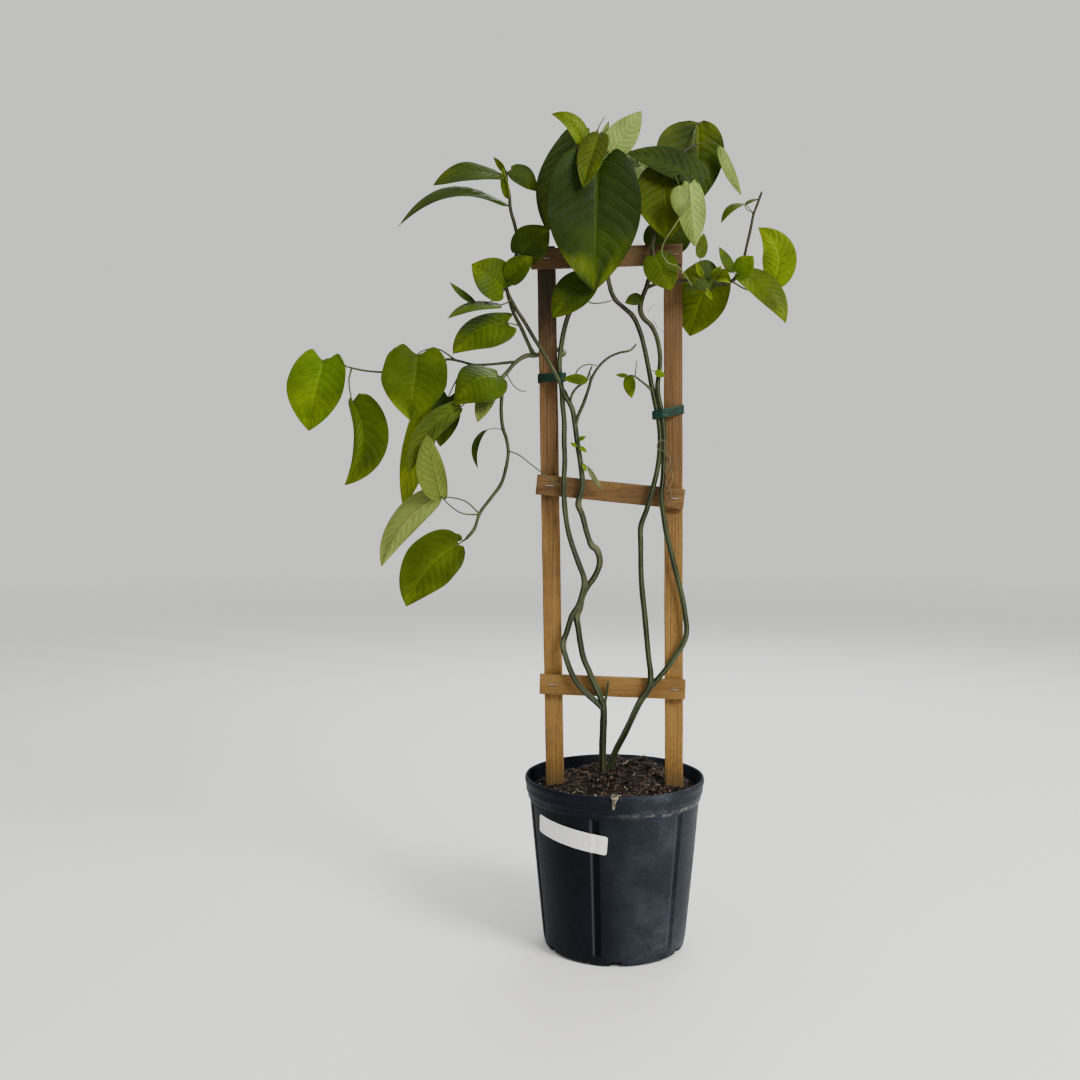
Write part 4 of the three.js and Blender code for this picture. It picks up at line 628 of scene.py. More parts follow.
def group(name, inputs, outputs, make):
    """A shader node group. Its inputs are numbers with defaults, or a place where there is none, and its
    outputs are the masks that make(setup, given) gives in turn."""
    tree = bpy.data.node_groups.new(name, "ShaderNodeTree")
    for key, default in inputs.items():
        kind = "NodeSocketVector" if default is None else "NodeSocketFloat"
        socket = tree.interface.new_socket(key, in_out="INPUT", socket_type=kind)
        if default is not None:
            socket.default_value = default
    for key in outputs:
        tree.interface.new_socket(key, in_out="OUTPUT", socket_type="NodeSocketFloat")
    given = tree.nodes.new("NodeGroupInput").outputs
    result = tree.nodes.new("NodeGroupOutput").inputs
    for key, value in zip(outputs, make(Setup(tree), given)):
        tree.links.new(value, result[key])
    return tree


def mottle(s, given):
    """Cloudy variation over a surface, at one size with a finer one over it, from 0 to 1."""
    broad = s.noise(given["Size"], 2.0)
    fine = s.noise(s.times(given["Size"], 6.0), 3.0)
    spread = s.times(s.minus(s.total((broad, 0.65), (fine, 0.35)), 0.5), given["Contrast"])
    return [s.plus(s.times(spread, 3.0), 0.5, clamp=True)]


def leaf_veins(s, given):
    """The veins of a leaf, from its own measure: x along, y across from -1 to 1, z a number of its own.
    A side vein is where (along - rise * |across|^1.3) * pairs is a whole number."""
    x, y, z = s.split(s.mark("measure"))
    out = s.size(y)
    curve = s.times(s.math("POWER", out, 1.3), VEIN_RISE)
    phase = s.plus(s.times(s.minus(x, curve), float(VEINS)), z)
    off = s.size(s.math("FRACT", phase), 0.5)
    side = s.times(s.ramp(off, 0.5, 0.42, 1.0, 0.0), s.ramp(out, 0.97, 0.75))
    rib = s.ramp(s.math("DIVIDE", out, s.minus(1.15, x)), 0.075, 0.02)
    cells = s.add("TexVoronoi", {"Vector": s.place(), "Scale": 260.0}, feature="DISTANCE_TO_EDGE").outputs[0]
    return rib, side, s.ramp(cells, 0.12, 0.0)


def dust(s, given):
    """Pale dust and scuffs: cloudy patches, thicker where asked, broken by short level scratches."""
    cloud = s.ramp(s.noise(14.0, 5.0, 0.65), 0.42, 0.75)
    scratch = s.ramp(s.noise(1.0, 4.0, 0.6, s.stretch((36.0, 36.0, 340.0))), 0.55, 0.72)
    specks = s.ramp(s.noise(420.0, 2.0), 0.66, 0.74)
    both = s.total((cloud, 0.6), (scratch, 0.24), (specks, 0.8))
    return [s.times(both, given["Amount"], clamp=True)]


def wood_grain(s, given):
    """Wood grain on a stretched place: broad bands, fine dark lines and saw marks."""
    where = given["Vector"]
    bands = s.noise(1.0, 4.0, 0.6, where)
    ring = s.add("TexWave", {"Vector": where, "Scale": 0.8, "Distortion": 5.0, "Detail": 3.0,
                             "Detail Scale": 1.2}, bands_direction="X").outputs[1]
    lines = s.ramp(s.noise(5.0, 6.0, 0.7, where), 0.5, 0.72)
    return s.total((bands, 0.8), (ring, 0.2)), lines, s.total((lines, -0.6), (ring, 0.3))


MOTTLE = group("mottle", {"Size": 20.0, "Contrast": 1.0}, ["Mask"], mottle)
VEIN = group("leaf_veins", {}, ["Midrib", "Side", "Net"], leaf_veins)
DUST = group("dust", {"Amount": 0.5}, ["Mask"], dust)
GRAIN = group("grain", {"Vector": None}, ["Bands", "Lines", "Height"], wood_grain)


# Materials

def material(name, make):
    """A material whose make(setup) gives the shader's inputs, and its bump as (height, depth)."""
    made = bpy.data.materials.new(name)
    made.use_nodes = True
    s = Setup(made.node_tree)
    inputs, (height, depth) = make(s)
    if height is not None:
        relief = s.add("Bump", {"Height": height, "Distance": depth, "Strength": 1.0})
        inputs["Normal"] = relief.outputs[0]
    s.feed(made.node_tree.nodes["Principled BSDF"], inputs)
    return made


def finish(base, rough, gloss, height=None, depth=0.0, **others):
    """What a material's shader is given, with the depth of its bump in metres."""
    return {"Base Color": base, "Roughness": rough, "Specular IOR Level": gloss, **others}, (height, depth)


def leaf_upper(s):
    """Waxy upper side: the leaf's own green, clouded, and paler along the sunken veins."""
    veins, cloud, tone = s.effect(VEIN), s.cloud(22.0, 0.8), s.mark("tone")
    base = s.mix(cloud, s.tint(tone, 0.62, 0.66, 0.5), s.tint(tone, 1.35, 1.28, 1.2))
    line = s.mix(0.07, s.tint(tone, 1.5, 1.45, 1.3), (0.16, 0.22, 0.02))
    for key, share in (("Side", 0.4), ("Midrib", 0.75), ("Net", 0.12)):
        base = s.coat(base, line, veins[key], share)
    height = s.total((veins["Net"], -0.25), (veins["Side"], -0.9), (veins["Midrib"], -1.0))
    return finish(base, s.level(cloud, 0.42, 0.6), 0.09, height, 0.0005)


def leaf_underside(s):
    """Matt underside, paler and greyer, with the veins raised and lighter."""
    veins, cloud, tone = s.effect(VEIN), s.cloud(25.0, 0.8), s.mark("tone")
    base = s.mix(cloud, s.tint(tone, 0.72, 0.78, 0.6), tone)
    line = s.tint(tone, 1.55, 1.45, 1.7)
    for key, share in (("Side", 0.6), ("Midrib", 0.9), ("Net", 0.25)):
        base = s.coat(base, line, veins[key], share)
    height = s.plus(s.plus(s.times(veins["Net"], 0.3), veins["Side"]), s.times(veins["Midrib"], 1.5))
    return finish(base, 0.65, 0.2, height, 0.0008)


def stem_skin(s):
    """Winged stems: the wings' edges pale, a waxy grey bloom over green, darker and brown in patches."""
    cloud, wing, tone = s.cloud(45.0, 1.3), s.split(s.mark("measure"))[1], s.mark("tone")
    base = s.mix(cloud, s.tint(tone, 0.5, 0.52, 0.5), tone)
    base = s.coat(base, (0.15, 0.18, 0.08), wing, 0.35)
    scars = s.times(s.ramp(s.noise(210.0, 3.0, 0.6), 0.62, 0.72), s.ramp(cloud, 0.45, 0.8))
    base = s.coat(base, (0.24, 0.22, 0.14), scars, 0.55)
    return finish(base, s.level(cloud, 0.5, 0.68), 0.22, s.noise(900.0), 0.0003)


# Heights in metres
# CHALK_LINE is the height of a pale line under the rim, partly chalky dust and partly painted highlight.
POT_STEP, CHALK_LINE, POT_RIM = 0.194, 0.190, (0.204, 0.212)
WOOD_DARKENS, SOIL_STAIN, DAMP_AND_SHADE = (0.42, 0.72), (0.250, 0.212), (0.76, 0.85)


def pot_plastic(s):
    """Blue-black moulded plastic with dust on the ledges and near the foot. Painted light makes the plastic
    and its dust paler towards the right, and the ledges paler there still as a painted highlight. Under the
    rim a pale line is partly chalky dust and partly a painted highlight, and the grooves hold painted shade
    beside painted highlights on their edges."""
    cloud = s.cloud(9.0, 1.0)
    x, _, z = s.split(s.place())
    # Dust on the step below the rim and on the rim, made stronger towards the right as a painted highlight.
    ledge_dust_and_highlight = s.plus(s.ramp(s.size(z, POT_STEP), 0.007, 0.0, 0.0, 0.4), s.ramp(z, *POT_RIM, 0.0, 0.25))
    ledge_dust_and_highlight = s.times(ledge_dust_and_highlight, s.ramp(x, -0.06, 0.08, 0.8, 2.2))
    # More dust towards the right is painted light there; the extra dust near the foot is real dust.
    painted_light_right, low = s.ramp(x, -0.05, 0.11, 0.0, 0.5), s.ramp(z, 0.04, 0.0, 0.0, 0.3)
    dust_and_painted_light = s.effect(DUST, Amount=s.plus(s.plus(painted_light_right, ledge_dust_and_highlight), low))["Mask"]
    # A pale chalky line along the step under the rim, kept to the right side: partly dust, partly a painted
    # highlight.
    chalk_and_highlight = s.times(s.ramp(s.size(z, CHALK_LINE), 0.005, 0.0005), s.ramp(x, -0.02, 0.09))
    chalk_and_highlight = s.times(chalk_and_highlight, s.ramp(s.noise(90.0, 4.0, 0.7), 0.42, 0.62))
    groove, edge = s.split(s.mark("groove"))[:2]
    base = s.mix(cloud, (0.0022, 0.0028, 0.0046), (0.0060, 0.0078, 0.0130))
    # Painted light: the plastic turns a lighter blue-grey towards the right.
    base = s.mix(s.ramp(x, -0.06, 0.06, 0.0, 0.6), base, (0.020, 0.025, 0.033))
    base = s.mix(dust_and_painted_light, base, (0.110, 0.125, 0.150))
    base = s.coat(base, (0.32, 0.31, 0.28), chalk_and_highlight, 0.42)
    # Painted highlight on the pale edge beside each groove, and painted shade inside the groove.
    base = s.coat(base, (0.22, 0.23, 0.25), edge, 0.16)
    base = s.coat(base, (0.0012, 0.0014, 0.002), groove, 0.85)
    rough = s.level(s.plus(s.times(cloud, 0.4), dust_and_painted_light), 0.4, 0.72)
    return finish(base, rough, 0.05, s.noise(260.0, 4.0), 0.0004)


def soil_mix(s):
    """Dark bark and peat crumbs, browner and paler in grains."""
    grains = s.add("TexVoronoi", {"Vector": s.place(), "Scale": 330.0}).outputs[1]
    shade = s.add("SeparateColor", {0: grains}).outputs[0]
    base = s.mix(s.cloud(30.0, 1.2), (0.005, 0.003, 0.002), (0.022, 0.013, 0.008))
    base = s.mix(s.ramp(shade, 0.75, 0.95), base, (0.080, 0.050, 0.032))
    height = s.plus(s.noise(300.0, 5.0, 0.7), s.times(shade, 0.5))
    return finish(base, 0.92, 0.2, height, 0.003)


def bark_bits(s):
    """Shreds of bark, each with its own brown, streaked along its length."""
    tone, streak = s.mark("tone"), s.noise(500.0, 4.0, 0.7)
    base = s.mix(streak, s.tint(tone, 0.35, 0.35, 0.35), s.tint(tone, 1.5, 1.5, 1.5))
    return finish(base, 0.85, 0.25, streak, 0.0008)


def sawn_wood(stretch, turn, damp_and_shade_share, pale):
    """Stained softwood, its grain stretched along the lath, browner and darker higher up, stained at the soil
    line, and darkened near the top by damp and by painted shade."""
    def stained(*rgb):
        return [channel * pale for channel in rgb]

    def make(s):
        grain = s.effect(GRAIN, Vector=s.stretch(stretch, turn))
        cloud, z = s.cloud(16.0, 1.2), s.split(s.place())[2]

        def above(wander, *ramp):
            return s.ramp(s.plus(z, s.times(cloud, wander)), *ramp)

        high = above(0.12, *WOOD_DARKENS)
        light = s.mix(high, stained(0.270, 0.148, 0.034), stained(0.150, 0.080, 0.023))
        dark = s.mix(high, stained(0.215, 0.110, 0.021), stained(0.096, 0.046, 0.013))
        base = s.mix(s.ramp(grain["Bands"], 0.3, 0.7), dark, light)
        base = s.coat(base, (0.075, 0.036, 0.010), grain["Lines"], 0.16)
        flecks = s.ramp(s.noise(320.0, 4.0, 0.7), 0.42, 0.68, 0.0, 0.3)
        # The last mask darkens the top by a damp stain and by painted shade.
        for mask, tone in ((flecks, (0.070, 0.034, 0.010)),
                           (s.ramp(cloud, 0.75, 1.0, 0.0, 0.35), (0.10, 0.055, 0.025)),
                           (above(0.02, *SOIL_STAIN, 0.0, 0.75), (0.060, 0.050, 0.020)),
                           (above(0.06, *DAMP_AND_SHADE, 0.0, damp_and_shade_share), (0.020, 0.012, 0.008))):
            base = s.mix(mask, base, tone)
        return finish(base, s.level(cloud, 0.62, 0.8), 0.3, grain["Height"], 0.0009)
    return make


def label_paper(s):
    """Off-white paper with a faint cloud of grime and a soft sheen."""
    base = s.mix(s.cloud(35.0, 1.0), (0.76, 0.75, 0.71), (0.88, 0.88, 0.85))
    return finish(base, 0.5, 0.45, s.noise(700.0), 0.0001)


def tie_tape(s):
    """Dark green stretched vinyl, dusty in patches."""
    base = s.mix(s.cloud(70.0, 1.2), (0.001, 0.012, 0.006), (0.002, 0.028, 0.016))
    base = s.mix(s.effect(DUST, Amount=0.04)["Mask"], base, (0.10, 0.15, 0.12))
    return finish(base, 0.45, 0.2, s.noise(1.0, at=s.stretch((60.0, 60.0, 500.0))), 0.0006)


def staple_wire(s):
    """Dull zinc wire with brown specks."""
    cloud = s.cloud(300.0, 1.5)
    base = s.mix(s.ramp(cloud, 0.55, 0.95), (0.34, 0.34, 0.35), (0.12, 0.07, 0.04))
    return finish(base, s.ramp(cloud, 0.0, 1.0, 0.35, 0.6), 0.5, Metallic=0.9)


def dry_leaf(s):
    """Dead leaf, pale tan and grey, blotched."""
    base = s.mix(s.cloud(110.0, 1.6), (0.030, 0.022, 0.012), (0.34, 0.31, 0.22))
    return finish(base, 0.8, 0.2, s.noise(400.0, 4.0), 0.0008)


ROOM_TONE = (1.0, 0.99, 0.97, 1.0)
ROOM_SEEN, ROOM_LIGHT = 0.88, 0.25  # how bright the room looks, and how much light it gives
FLOOR_FADE = (1.8, 6.2)  # metres from the pot over which the floor takes the room's tone


def floor_paint(s):
    """Matt pale floor that runs out into the tone of the room, with no edge to be seen between them."""
    out = s.add("VectorMath", {0: s.place()}, operation="LENGTH").outputs["Value"]
    far = s.times(s.ramp(out, *FLOOR_FADE), s.add("LightPath").outputs["Is Camera Ray"])
    paint = s.mix(s.noise(0.6, 2.0), (0.88, 0.88, 0.87), (0.92, 0.92, 0.91))
    return finish(s.mix(far, paint, (0.0, 0.0, 0.0)), 0.9, 0.0,
                  **{"Emission Color": ROOM_TONE, "Emission Strength": s.times(far, ROOM_SEEN)})


UPPER, LOWER, STEM, POT, SOIL, BARK, PAPER, TAPE, WIRE, SCRAP_LEAF = (
    material(make.__name__, make) for make in (leaf_upper, leaf_underside, stem_skin, pot_plastic, soil_mix,
                                               bark_bits, label_paper, tie_tape, staple_wire, dry_leaf))
SPRAY_PAINTS = [UPPER, LOWER, STEM]


# Plant

def leaf_half(along, heart):
    """Half-width from base (0) to tip (1) as a share of the widest: from neck + shoulder * heart up a
    quarter circle to one at the widest place, then (1 - fall^taper)^point down to the tip."""
    low = NECK + SHOULDER * heart
    rise = 1 - np.minimum(1, along / WIDEST)
    fall = np.clip((along - WIDEST) / (1 - WIDEST), 0, 1)
    return np.where(along < WIDEST, low + (1 - low) * np.sqrt(1 - rise**2),
                    np.maximum(0.02, (1 - fall**TAPER) ** POINT))


def leaf_sheet(plan, along, across):
    """The middle of a blade. The midrib is base + chord * along, arched by bend * 4a(1-a) to the upper side
    and by sway * 4a(1-a) to the right; a point lies reach * across out from it along a direction that
    folds up by fold and twists by twist * along, the basal lobes sweep back and the margin ripples."""
    heart, bend, sway, wave = (plan.get(k, 0) for k in ("heart", "bend", "sway", "wave"))
    fold, twist = (math.radians(plan.get(k, 0)) for k in ("fold", "twist"))
    base, chord = np.array(plan["base"], float), np.subtract(plan["tip"], plan["base"]).astype(float)
    length = np.linalg.norm(chord)
    ahead = chord / length
    up = np.array(plan["face"], float)
    up -= ahead * (up @ ahead)
    up /= np.linalg.norm(up)
    side = np.cross(ahead, up)
    a, b = along[..., None], across[..., None]
    arch, slope = 4 * a * (1 - a), 4 * (1 - 2 * a) / length
    forward = ahead + up * bend * slope + side * sway * slope
    forward /= np.linalg.norm(forward, axis=-1)[..., None]
    lift = up - forward * (forward @ up)[..., None]
    lift /= np.linalg.norm(lift, axis=-1)[..., None]
    turn = twist * a
    lift = lift * np.cos(turn) + np.cross(forward, lift) * np.sin(turn)
    out = np.cross(forward, lift)
    share = np.where(b < 0, plan.get("left", 1), plan.get("right", 1))
    reach = plan["wide"] / 2 * leaf_half(a, heart) * share
    lobe = 3.6 * (b**2 - 0.9 * b**4) * np.maximum(0, 1 - a / WIDEST) ** 2
    ripple = wave * np.sin(2 * math.pi * (WAVES * a + np.where(b < 0, 0.5, 0.1))) * b**2
    return (base + ahead * (length * a - LOBE * heart * length * lobe) + up * bend * arch
            + side * sway * arch + out * reach * b * math.cos(fold)
            + lift * (reach * np.abs(b) * math.sin(fold) + ripple)), length


def out_and_back(over, under):
    """Rings that go out over one side of a slab and back under the other."""
    return np.concatenate([over, under[:, ::-1]], 1)


def leaf_blade(plan, number):
    """A closed thin blade. Its sheet is lowered by the midrib's groove, sags a little, and on a large leaf is
    raised by puff * (pillow^0.6 - 0.6), where pillow is (1 - cos(2 pi phase)) / 2 and phase counts the side
    veins."""
    small = plan.get("small", False)
    rows, columns = SMALL_GRID if small else LARGE_GRID
    a, b = np.meshgrid(np.linspace(0, 1, rows), np.sin(np.linspace(-1, 1, columns) * math.pi / 2.15)
                       / math.sin(math.pi / 2.15), indexing="ij")
    sheet, length = leaf_sheet(plan, a, b)
    size = min(1.0, length / 120)
    lift = -RIB_DEEP * size * np.exp(-(b / 0.07) ** 2) * (1 - a)
    sag = SAG * size * waves(np.stack([a * 3, b * 1.5], -1), 2.2, number) * np.abs(b) ** 1.5
    if small:
        offset = 0.0
        lift = lift + sag * 0.4
    else:
        offset = float(np.random.default_rng(number).uniform(0, 1))
        phase = VEINS * (a - VEIN_RISE * np.abs(b) ** 1.3) + offset
        pillow = (1 - np.cos(2 * math.pi * phase)) / 2
        fade = (1 - np.abs(b) ** 3) * np.minimum(1, (1 - a) * 5) * np.minimum(1, a * 6)
        lift = PUFF * size * (pillow ** 0.6 - 0.6) * fade * np.minimum(1, np.abs(b) * 5) + lift + sag
    sheet = sheet + normals_of(sheet) * lift[..., None]
    half = (BLADE / 2 * (1 - 0.6 * b**6) * np.minimum(1, 0.35 + 4 * (1 - a)))[..., None]
    up = normals_of(sheet)
    faces = slab_quads(rows, columns)
    slots = np.where(faces[0][:, 0] % (2 * columns) < columns, 0, 1)

    own = np.random.default_rng(number + 50).uniform(0.88, 1.12)
    upper, lower, (sun, sun_from, sun_to, sun_tone) = TONES[plan["tone"]]
    where = np.stack([a * 6, b * 3], -1)
    # The patch is painted sunlight where its colour is the sunny yellow-green, and the ochre leaf's own brown
    # there.
    patch = sun * between(a, sun_from, sun_to) * np.clip(0.75 + 0.8 * waves(where, 2.4, number + 9), 0, 1.6)
    cloud = own * (1 + 0.22 * waves(where, 4.5, number + 5) - 0.12 * b**4)
    upper = mixed(upper, sun_tone, np.clip(patch, 0, 1)[..., None])
    tones = out_and_back(upper, np.broadcast_to(lower, upper.shape)) * out_and_back(cloud, cloud)[..., None]
    measure = np.stack([a, b, np.full_like(a, offset)], -1)
    return part(out_and_back(sheet + up * half, sheet - up * half), faces, [slots, 1, 1],
                tone=tones.reshape(-1, 3), measure=out_and_back(measure, measure).reshape(-1, 3))


def leaf_stalk(plan):
    """Petiole: root, bow, base and a little way under the blade, thinner in its middle."""
    root = np.array(plan["stalk"], float)
    base, inner = (leaf_sheet(plan, np.array([x]), np.array([0.0]))[0][0] for x in (0.0, 0.05))
    span = np.linalg.norm(base - root)
    ahead = (inner - base) / np.linalg.norm(inner - base)
    bow = root + 0.55 * (base - ahead * 0.35 * span - root)
    path, run = smooth_path([root, bow, base - ahead * 0.3, inner], 1.6)
    thick = np.linspace(*(STALKLET if plan.get("small") else STALK), len(path))
    share = run / run[-1]
    radius = thick / 2 * (0.88 + 0.2 * np.exp(-share * 9) + 0.16 * np.exp(-(1 - share) * 9))
    radius *= np.minimum(1, (1 - share) * 6 + 0.35)
    tone = 0.5 * np.array(TONES[plan["tone"]][0]) + 0.5 * np.array(STEM_GREEN)
    return tube(path, radius, 8, pick=STALK_PAINT, tone=tone, measure=(0.5, 0.3, 0))


def winged(turn):
    """Four low wings: radius = 0.74 + 0.3 * |cos(2 turn)|^3 of the full one."""
    return 0.74 + 0.3 * np.abs(np.cos(2 * turn)) ** 3


def stem(thick_from, thick_to, points, number, woody):
    """A winged stem, swollen where it turns at its nodes, with the wings marked for their paler edges."""
    path, run = smooth_path(points, 2.4)
    share = run / run[-1]
    away = np.gradient(np.gradient(path, axis=0), axis=0)
    bend = np.convolve(np.linalg.norm(away, axis=1), np.ones(5) / 5, "same")
    knots = np.clip(bend / 0.22 - 0.4, 0, 1)
    radius = (thick_from + (thick_to - thick_from) * share) / 2
    radius = 0.94 * radius * (1 + 0.22 * knots) * (1 + 0.05 * waves(path, 26, number))
    radius *= np.minimum(1, (run[-1] - run) / (thick_to * 1.5) + 0.45)
    main = thick_from > WINGED_FROM
    sides, shape = (24, winged) if main else (10, None)
    wing = np.abs(np.cos(2 * circle(sides))) ** 12 if main else np.full(sides, 0.3)
    cloud = np.clip(0.5 + 0.5 * waves(path, 60, number + 3) + (-0.1 if woody else 0.35), 0, 1)
    tone = mixed(mixed(STEM_DARK, STEM_GREEN, cloud[:, None]), KNOT_PALE, (0.5 * knots)[:, None])
    tone = mixed(tone, STEM_BROWN, 0.8 * between(path[:, 2], *OLD_WOOD)[:, None] * main)
    measure = np.stack([np.repeat(share, sides), np.tile(wing, len(path)), np.zeros(len(path) * sides)], 1)
    return tube(path, radius, sides, shape, STALK_PAINT, tone=np.repeat(tone, sides, 0), measure=measure)


def leafy(plans, number):
    """The stalks and blades of some leaves."""
    return [patch for index, plan in enumerate(plans)
            for patch in (leaf_stalk(plan), leaf_blade(plan, number + index))]


for count, (name, (stems, leaves)) in enumerate(SPRAYS.items()):
    number, woody = 100 * count, name.startswith("vine")
    bare = [stem(thick_from, thick_to, path, number + index, woody)
            for index, (thick_from, thick_to, *path) in enumerate(stems)]
    build(name + "_plant", bare + leafy(leaves, number + 20), SPRAY_PAINTS, "vine_stem" if woody else "leaf",
          name)

# Wiry tendrils, rootlets and a bent stalk, as (thickness, tone, points)
ROOTLET = (0.200, 0.125, 0.075)
DEAD_ROOT = (0.050, 0.026, 0.014)
BENT_STALK = (0.120, 0.160, 0.045)
TENDRILS = [
    (1.1, STEM_GREEN, (66, -36, 871), (60, -42, 862), (62, -45, 850), (72, -47, 844), (84, -46, 836),
     (96, -44, 812)),
    (0.8, STEM_GREEN, (46, -13, 790), (52, -22, 778), (60, -24, 772), (63, -21, 764)),
    (0.7, STEM_GREEN, (40, -13, 800), (47, -26, 806), (56, -27, 801)),
    (0.8, STEM_GREEN, (-44, -20, 610), (-36, -26, 606), (-31, -27, 613), (-35, -26, 618)),
    (2.2, BENT_STALK, (87, -66, 926), (74, -64, 901), (57, -58, 875), (55, -55, 864), (62, -53, 853),
     (75, -50, 848), (86, -42, 836), (98, -26, 824), (107, -14, 832)),
    (1.5, ROOTLET, (55, -16, 629), (63, -22, 625), (68, -21, 614), (62, -20, 604), (58, -20, 594)),
    (1.5, DEAD_ROOT, (59, -17, 621), (66, -20, 614), (70, -20, 599), (65, -19, 583), (69, -18, 566)),
    (1.3, ROOTLET, (59, -19, 601), (68, -24, 604), (71, -22, 591), (65, -20, 579), (60, -20, 570)),
    (1.4, DEAD_ROOT, (60, -18, 606), (63, -22, 591), (60, -22, 576), (65, -20, 563)),
    (1.1, ROOTLET, (59, -20, 594), (66, -24, 584), (69, -22, 570), (64, -20, 558)),
    (1.1, ROOTLET, (57, -16, 626), (51, -22, 633), (56, -23, 641), (64, -21, 637)),
    (1.2, DEAD_ROOT, (58, -17, 616), (69, -20, 621), (71, -20, 609), (64, -19, 596), (59, -19, 584)),
]


def tendril(thick, tone, *points):
    """A thin round wire along a smooth path, tapering to its end."""
    line, run = smooth_path(points, 1.2)
    return tube(line, thick / 2 * (1 - 0.5 * run / run[-1]), 8, tone=tone, measure=(0.5, 0.4, 0))


build("tendrils", [tendril(*row) for row in TENDRILS], [STEM], "vine_stem")

# Leaves just unfolding on the right shoot in front of the trellis, and on the left stem above its middle
YOUNG = [
    leaflet((104, -14, 833), (105, -30, 839), (97, -36, 856), 8, (-0.3, -1, 0.2), "young", fold=18, bend=2),
    leaflet((113, -14, 833), (116, -31, 838), (128, -36, 851), 9, (0.3, -1, 0.3), "mid", fold=16, bend=2),
    leaflet((121, -14, 833), (123, -30, 834), (139, -36, 830), 8, (0.2, -0.8, 0.6), "young", fold=20, bend=2),
    leaflet((99, -14, 834), (94, -30, 829), (83, -37, 816), 11, (-0.2, -1, 0.2), "dark", fold=10, bend=2),
    leaflet((108, -14, 833), (109, -30, 825), (117, -35, 810), 7, (0.1, -1, 0.1), "young", fold=22, bend=-2),
    leaflet((-48, -15, 640), (-45, -22, 641), (-36, -25, 645), 6, (0.2, -1, 0.4), "budding", fold=15, bend=1),
    leaflet((-47, -15, 634), (-44, -22, 632), (-35, -25, 625), 6, (0.2, -1, 0.2), "budding", fold=15, bend=1),
    leaflet((-47, -15, 635), (-49, -22, 633), (-56, -25, 638), 5, (-0.2, -1, 0.2), "budding", fold=15,
            bend=1),
    leaflet((-43, -17, 612), (-40, -23, 611), (-36, -25, 601), 5, (0.1, -1, 0.2), "budding", fold=15, bend=1),
]
build("young_leaves", leafy(YOUNG, 900), SPRAY_PAINTS, "leaf")


# Pot

def wall_radius(height, wall=WALL_LINE):
    """Radius of the pot at a height, on the straight line of a wall."""
    (r0, z0), (r1, z1) = wall
    return r0 + (r1 - r0) * (height - z0) / (z1 - z0)


def rounded(profile, step):
    """A profile of straight runs resampled at even steps, its corners softened by a small moving mean."""
    line = np.array(profile, float)
    run = run_of(line)
    fine = points_at(line, run, np.linspace(0, run[-1], int(run[-1] / step) + 1))
    kernel = np.exp(-np.array([-2.0, 0.0, 2.0]) ** 2)
    padded = np.pad(fine, ((1, 1), (0, 0)), "edge")
    smooth = np.stack([np.convolve(column, kernel / kernel.sum(), "valid") for column in padded.T], 1)
    smooth[[0, -1]] = fine[[0, -1]]
    return smooth


def pot_shell():
    """The pot's profile turned round its axis. On the outside, radius loses groove_deep * G(turn) * H(height)
    with its edges rounded, and each drain notch lifts the foot: z = max(z, notch_high * N(turn) * R(radius)).
    The marks are painted shade in the grooves and painted highlights on the edges beside them."""
    outer, inner = rounded(OUTSIDE, 1.6)[1:], rounded(INSIDE, 3.2)[:-1]
    r, z = np.split(np.vstack([outer, inner]), 2, 1)
    outside = np.arange(len(r))[:, None] < len(outer)
    spread = 360 / GROOVES
    drain = (DRAIN_TURN - GROOVE_TURN) % spread
    # Columns stand close together at each groove and drain notch, and further apart on the plain wall
    near = np.concatenate([np.linspace(-6, 4, 27), [6.2], np.linspace(drain - 5.6, drain + 5.6, 13),
                           np.linspace(drain + 5.6, spread - 6, 16)[1:-1]])
    turn = np.concatenate([GROOVE_TURN + spread * groove + near for groove in range(GROOVES)])
    off, notch_off = ((turn - first + spread / 2) % spread - spread / 2
                      for first in (GROOVE_TURN, DRAIN_TURN))
    low, high = GROOVED
    held = between(z, low - 2, low + 2) * between(-z, -high - 1, -high + 1) * outside
    # The groove mask both cuts the groove and marks painted shade in it; the edge mask marks a painted
    # highlight beside it.
    groove = between(-np.abs(off), *GROOVE_EDGES) * held
    edge = between(-np.abs(off + PALE_EDGE), -1.1, -0.2) * held
    angle = np.radians(turn)
    radius = r - 1.3 * GROOVE_DEEP * groove
    uneven = np.stack(np.broadcast_arrays(z / 100, np.cos(angle), np.sin(angle)), -1)
    radius = radius + 0.35 * waves(uneven, 1.6, 4)
    notch = between(-np.abs(notch_off), *NOTCH_EDGES) * between(r, 76, 80) * outside * (z < 9)
    height = np.maximum(z, NOTCH_HIGH * notch)
    # The painted shade and highlight are weaker on the grooves beside the front one.
    strong = np.where(np.abs(turn - GROOVE_TURN) < spread / 2, 1, SIDE_GROOVE)
    return capped(turned(angle, radius, height), [(0, 0, 0), (0, 0, INSIDE[-1][1])],
                  groove=np.stack([groove * strong, edge * strong, 0 * radius], -1).reshape(-1, 3))


build("pot_shell", [pot_shell()], [POT], "pot", "pot")


# Soil

def soil_height(x, y):
    """The soil line plus a bell for each mound."""
    return SOIL_EDGE + sum(high * np.exp(-((x - mx) ** 2 + (y - my) ** 2) / (2 * spread**2))
                           for mx, my, high, spread in MOUNDS)


def soil_relief(x, y, share):
    """soil_height with crumbs of three sizes, held under the low cone that the mounds keep to."""
    where = np.stack([x, y], -1)
    level = np.minimum(soil_height(x, y), POT_HEIGHT + 6 - 10 * share)
    rough = 2.2 * waves(where, 26, 11) + 1.3 * waves(where, 9, 12) + 0.8 * np.abs(waves(where, 4, 13))
    return level + rough * np.minimum(1, (1 - share) * 6 + 0.3)


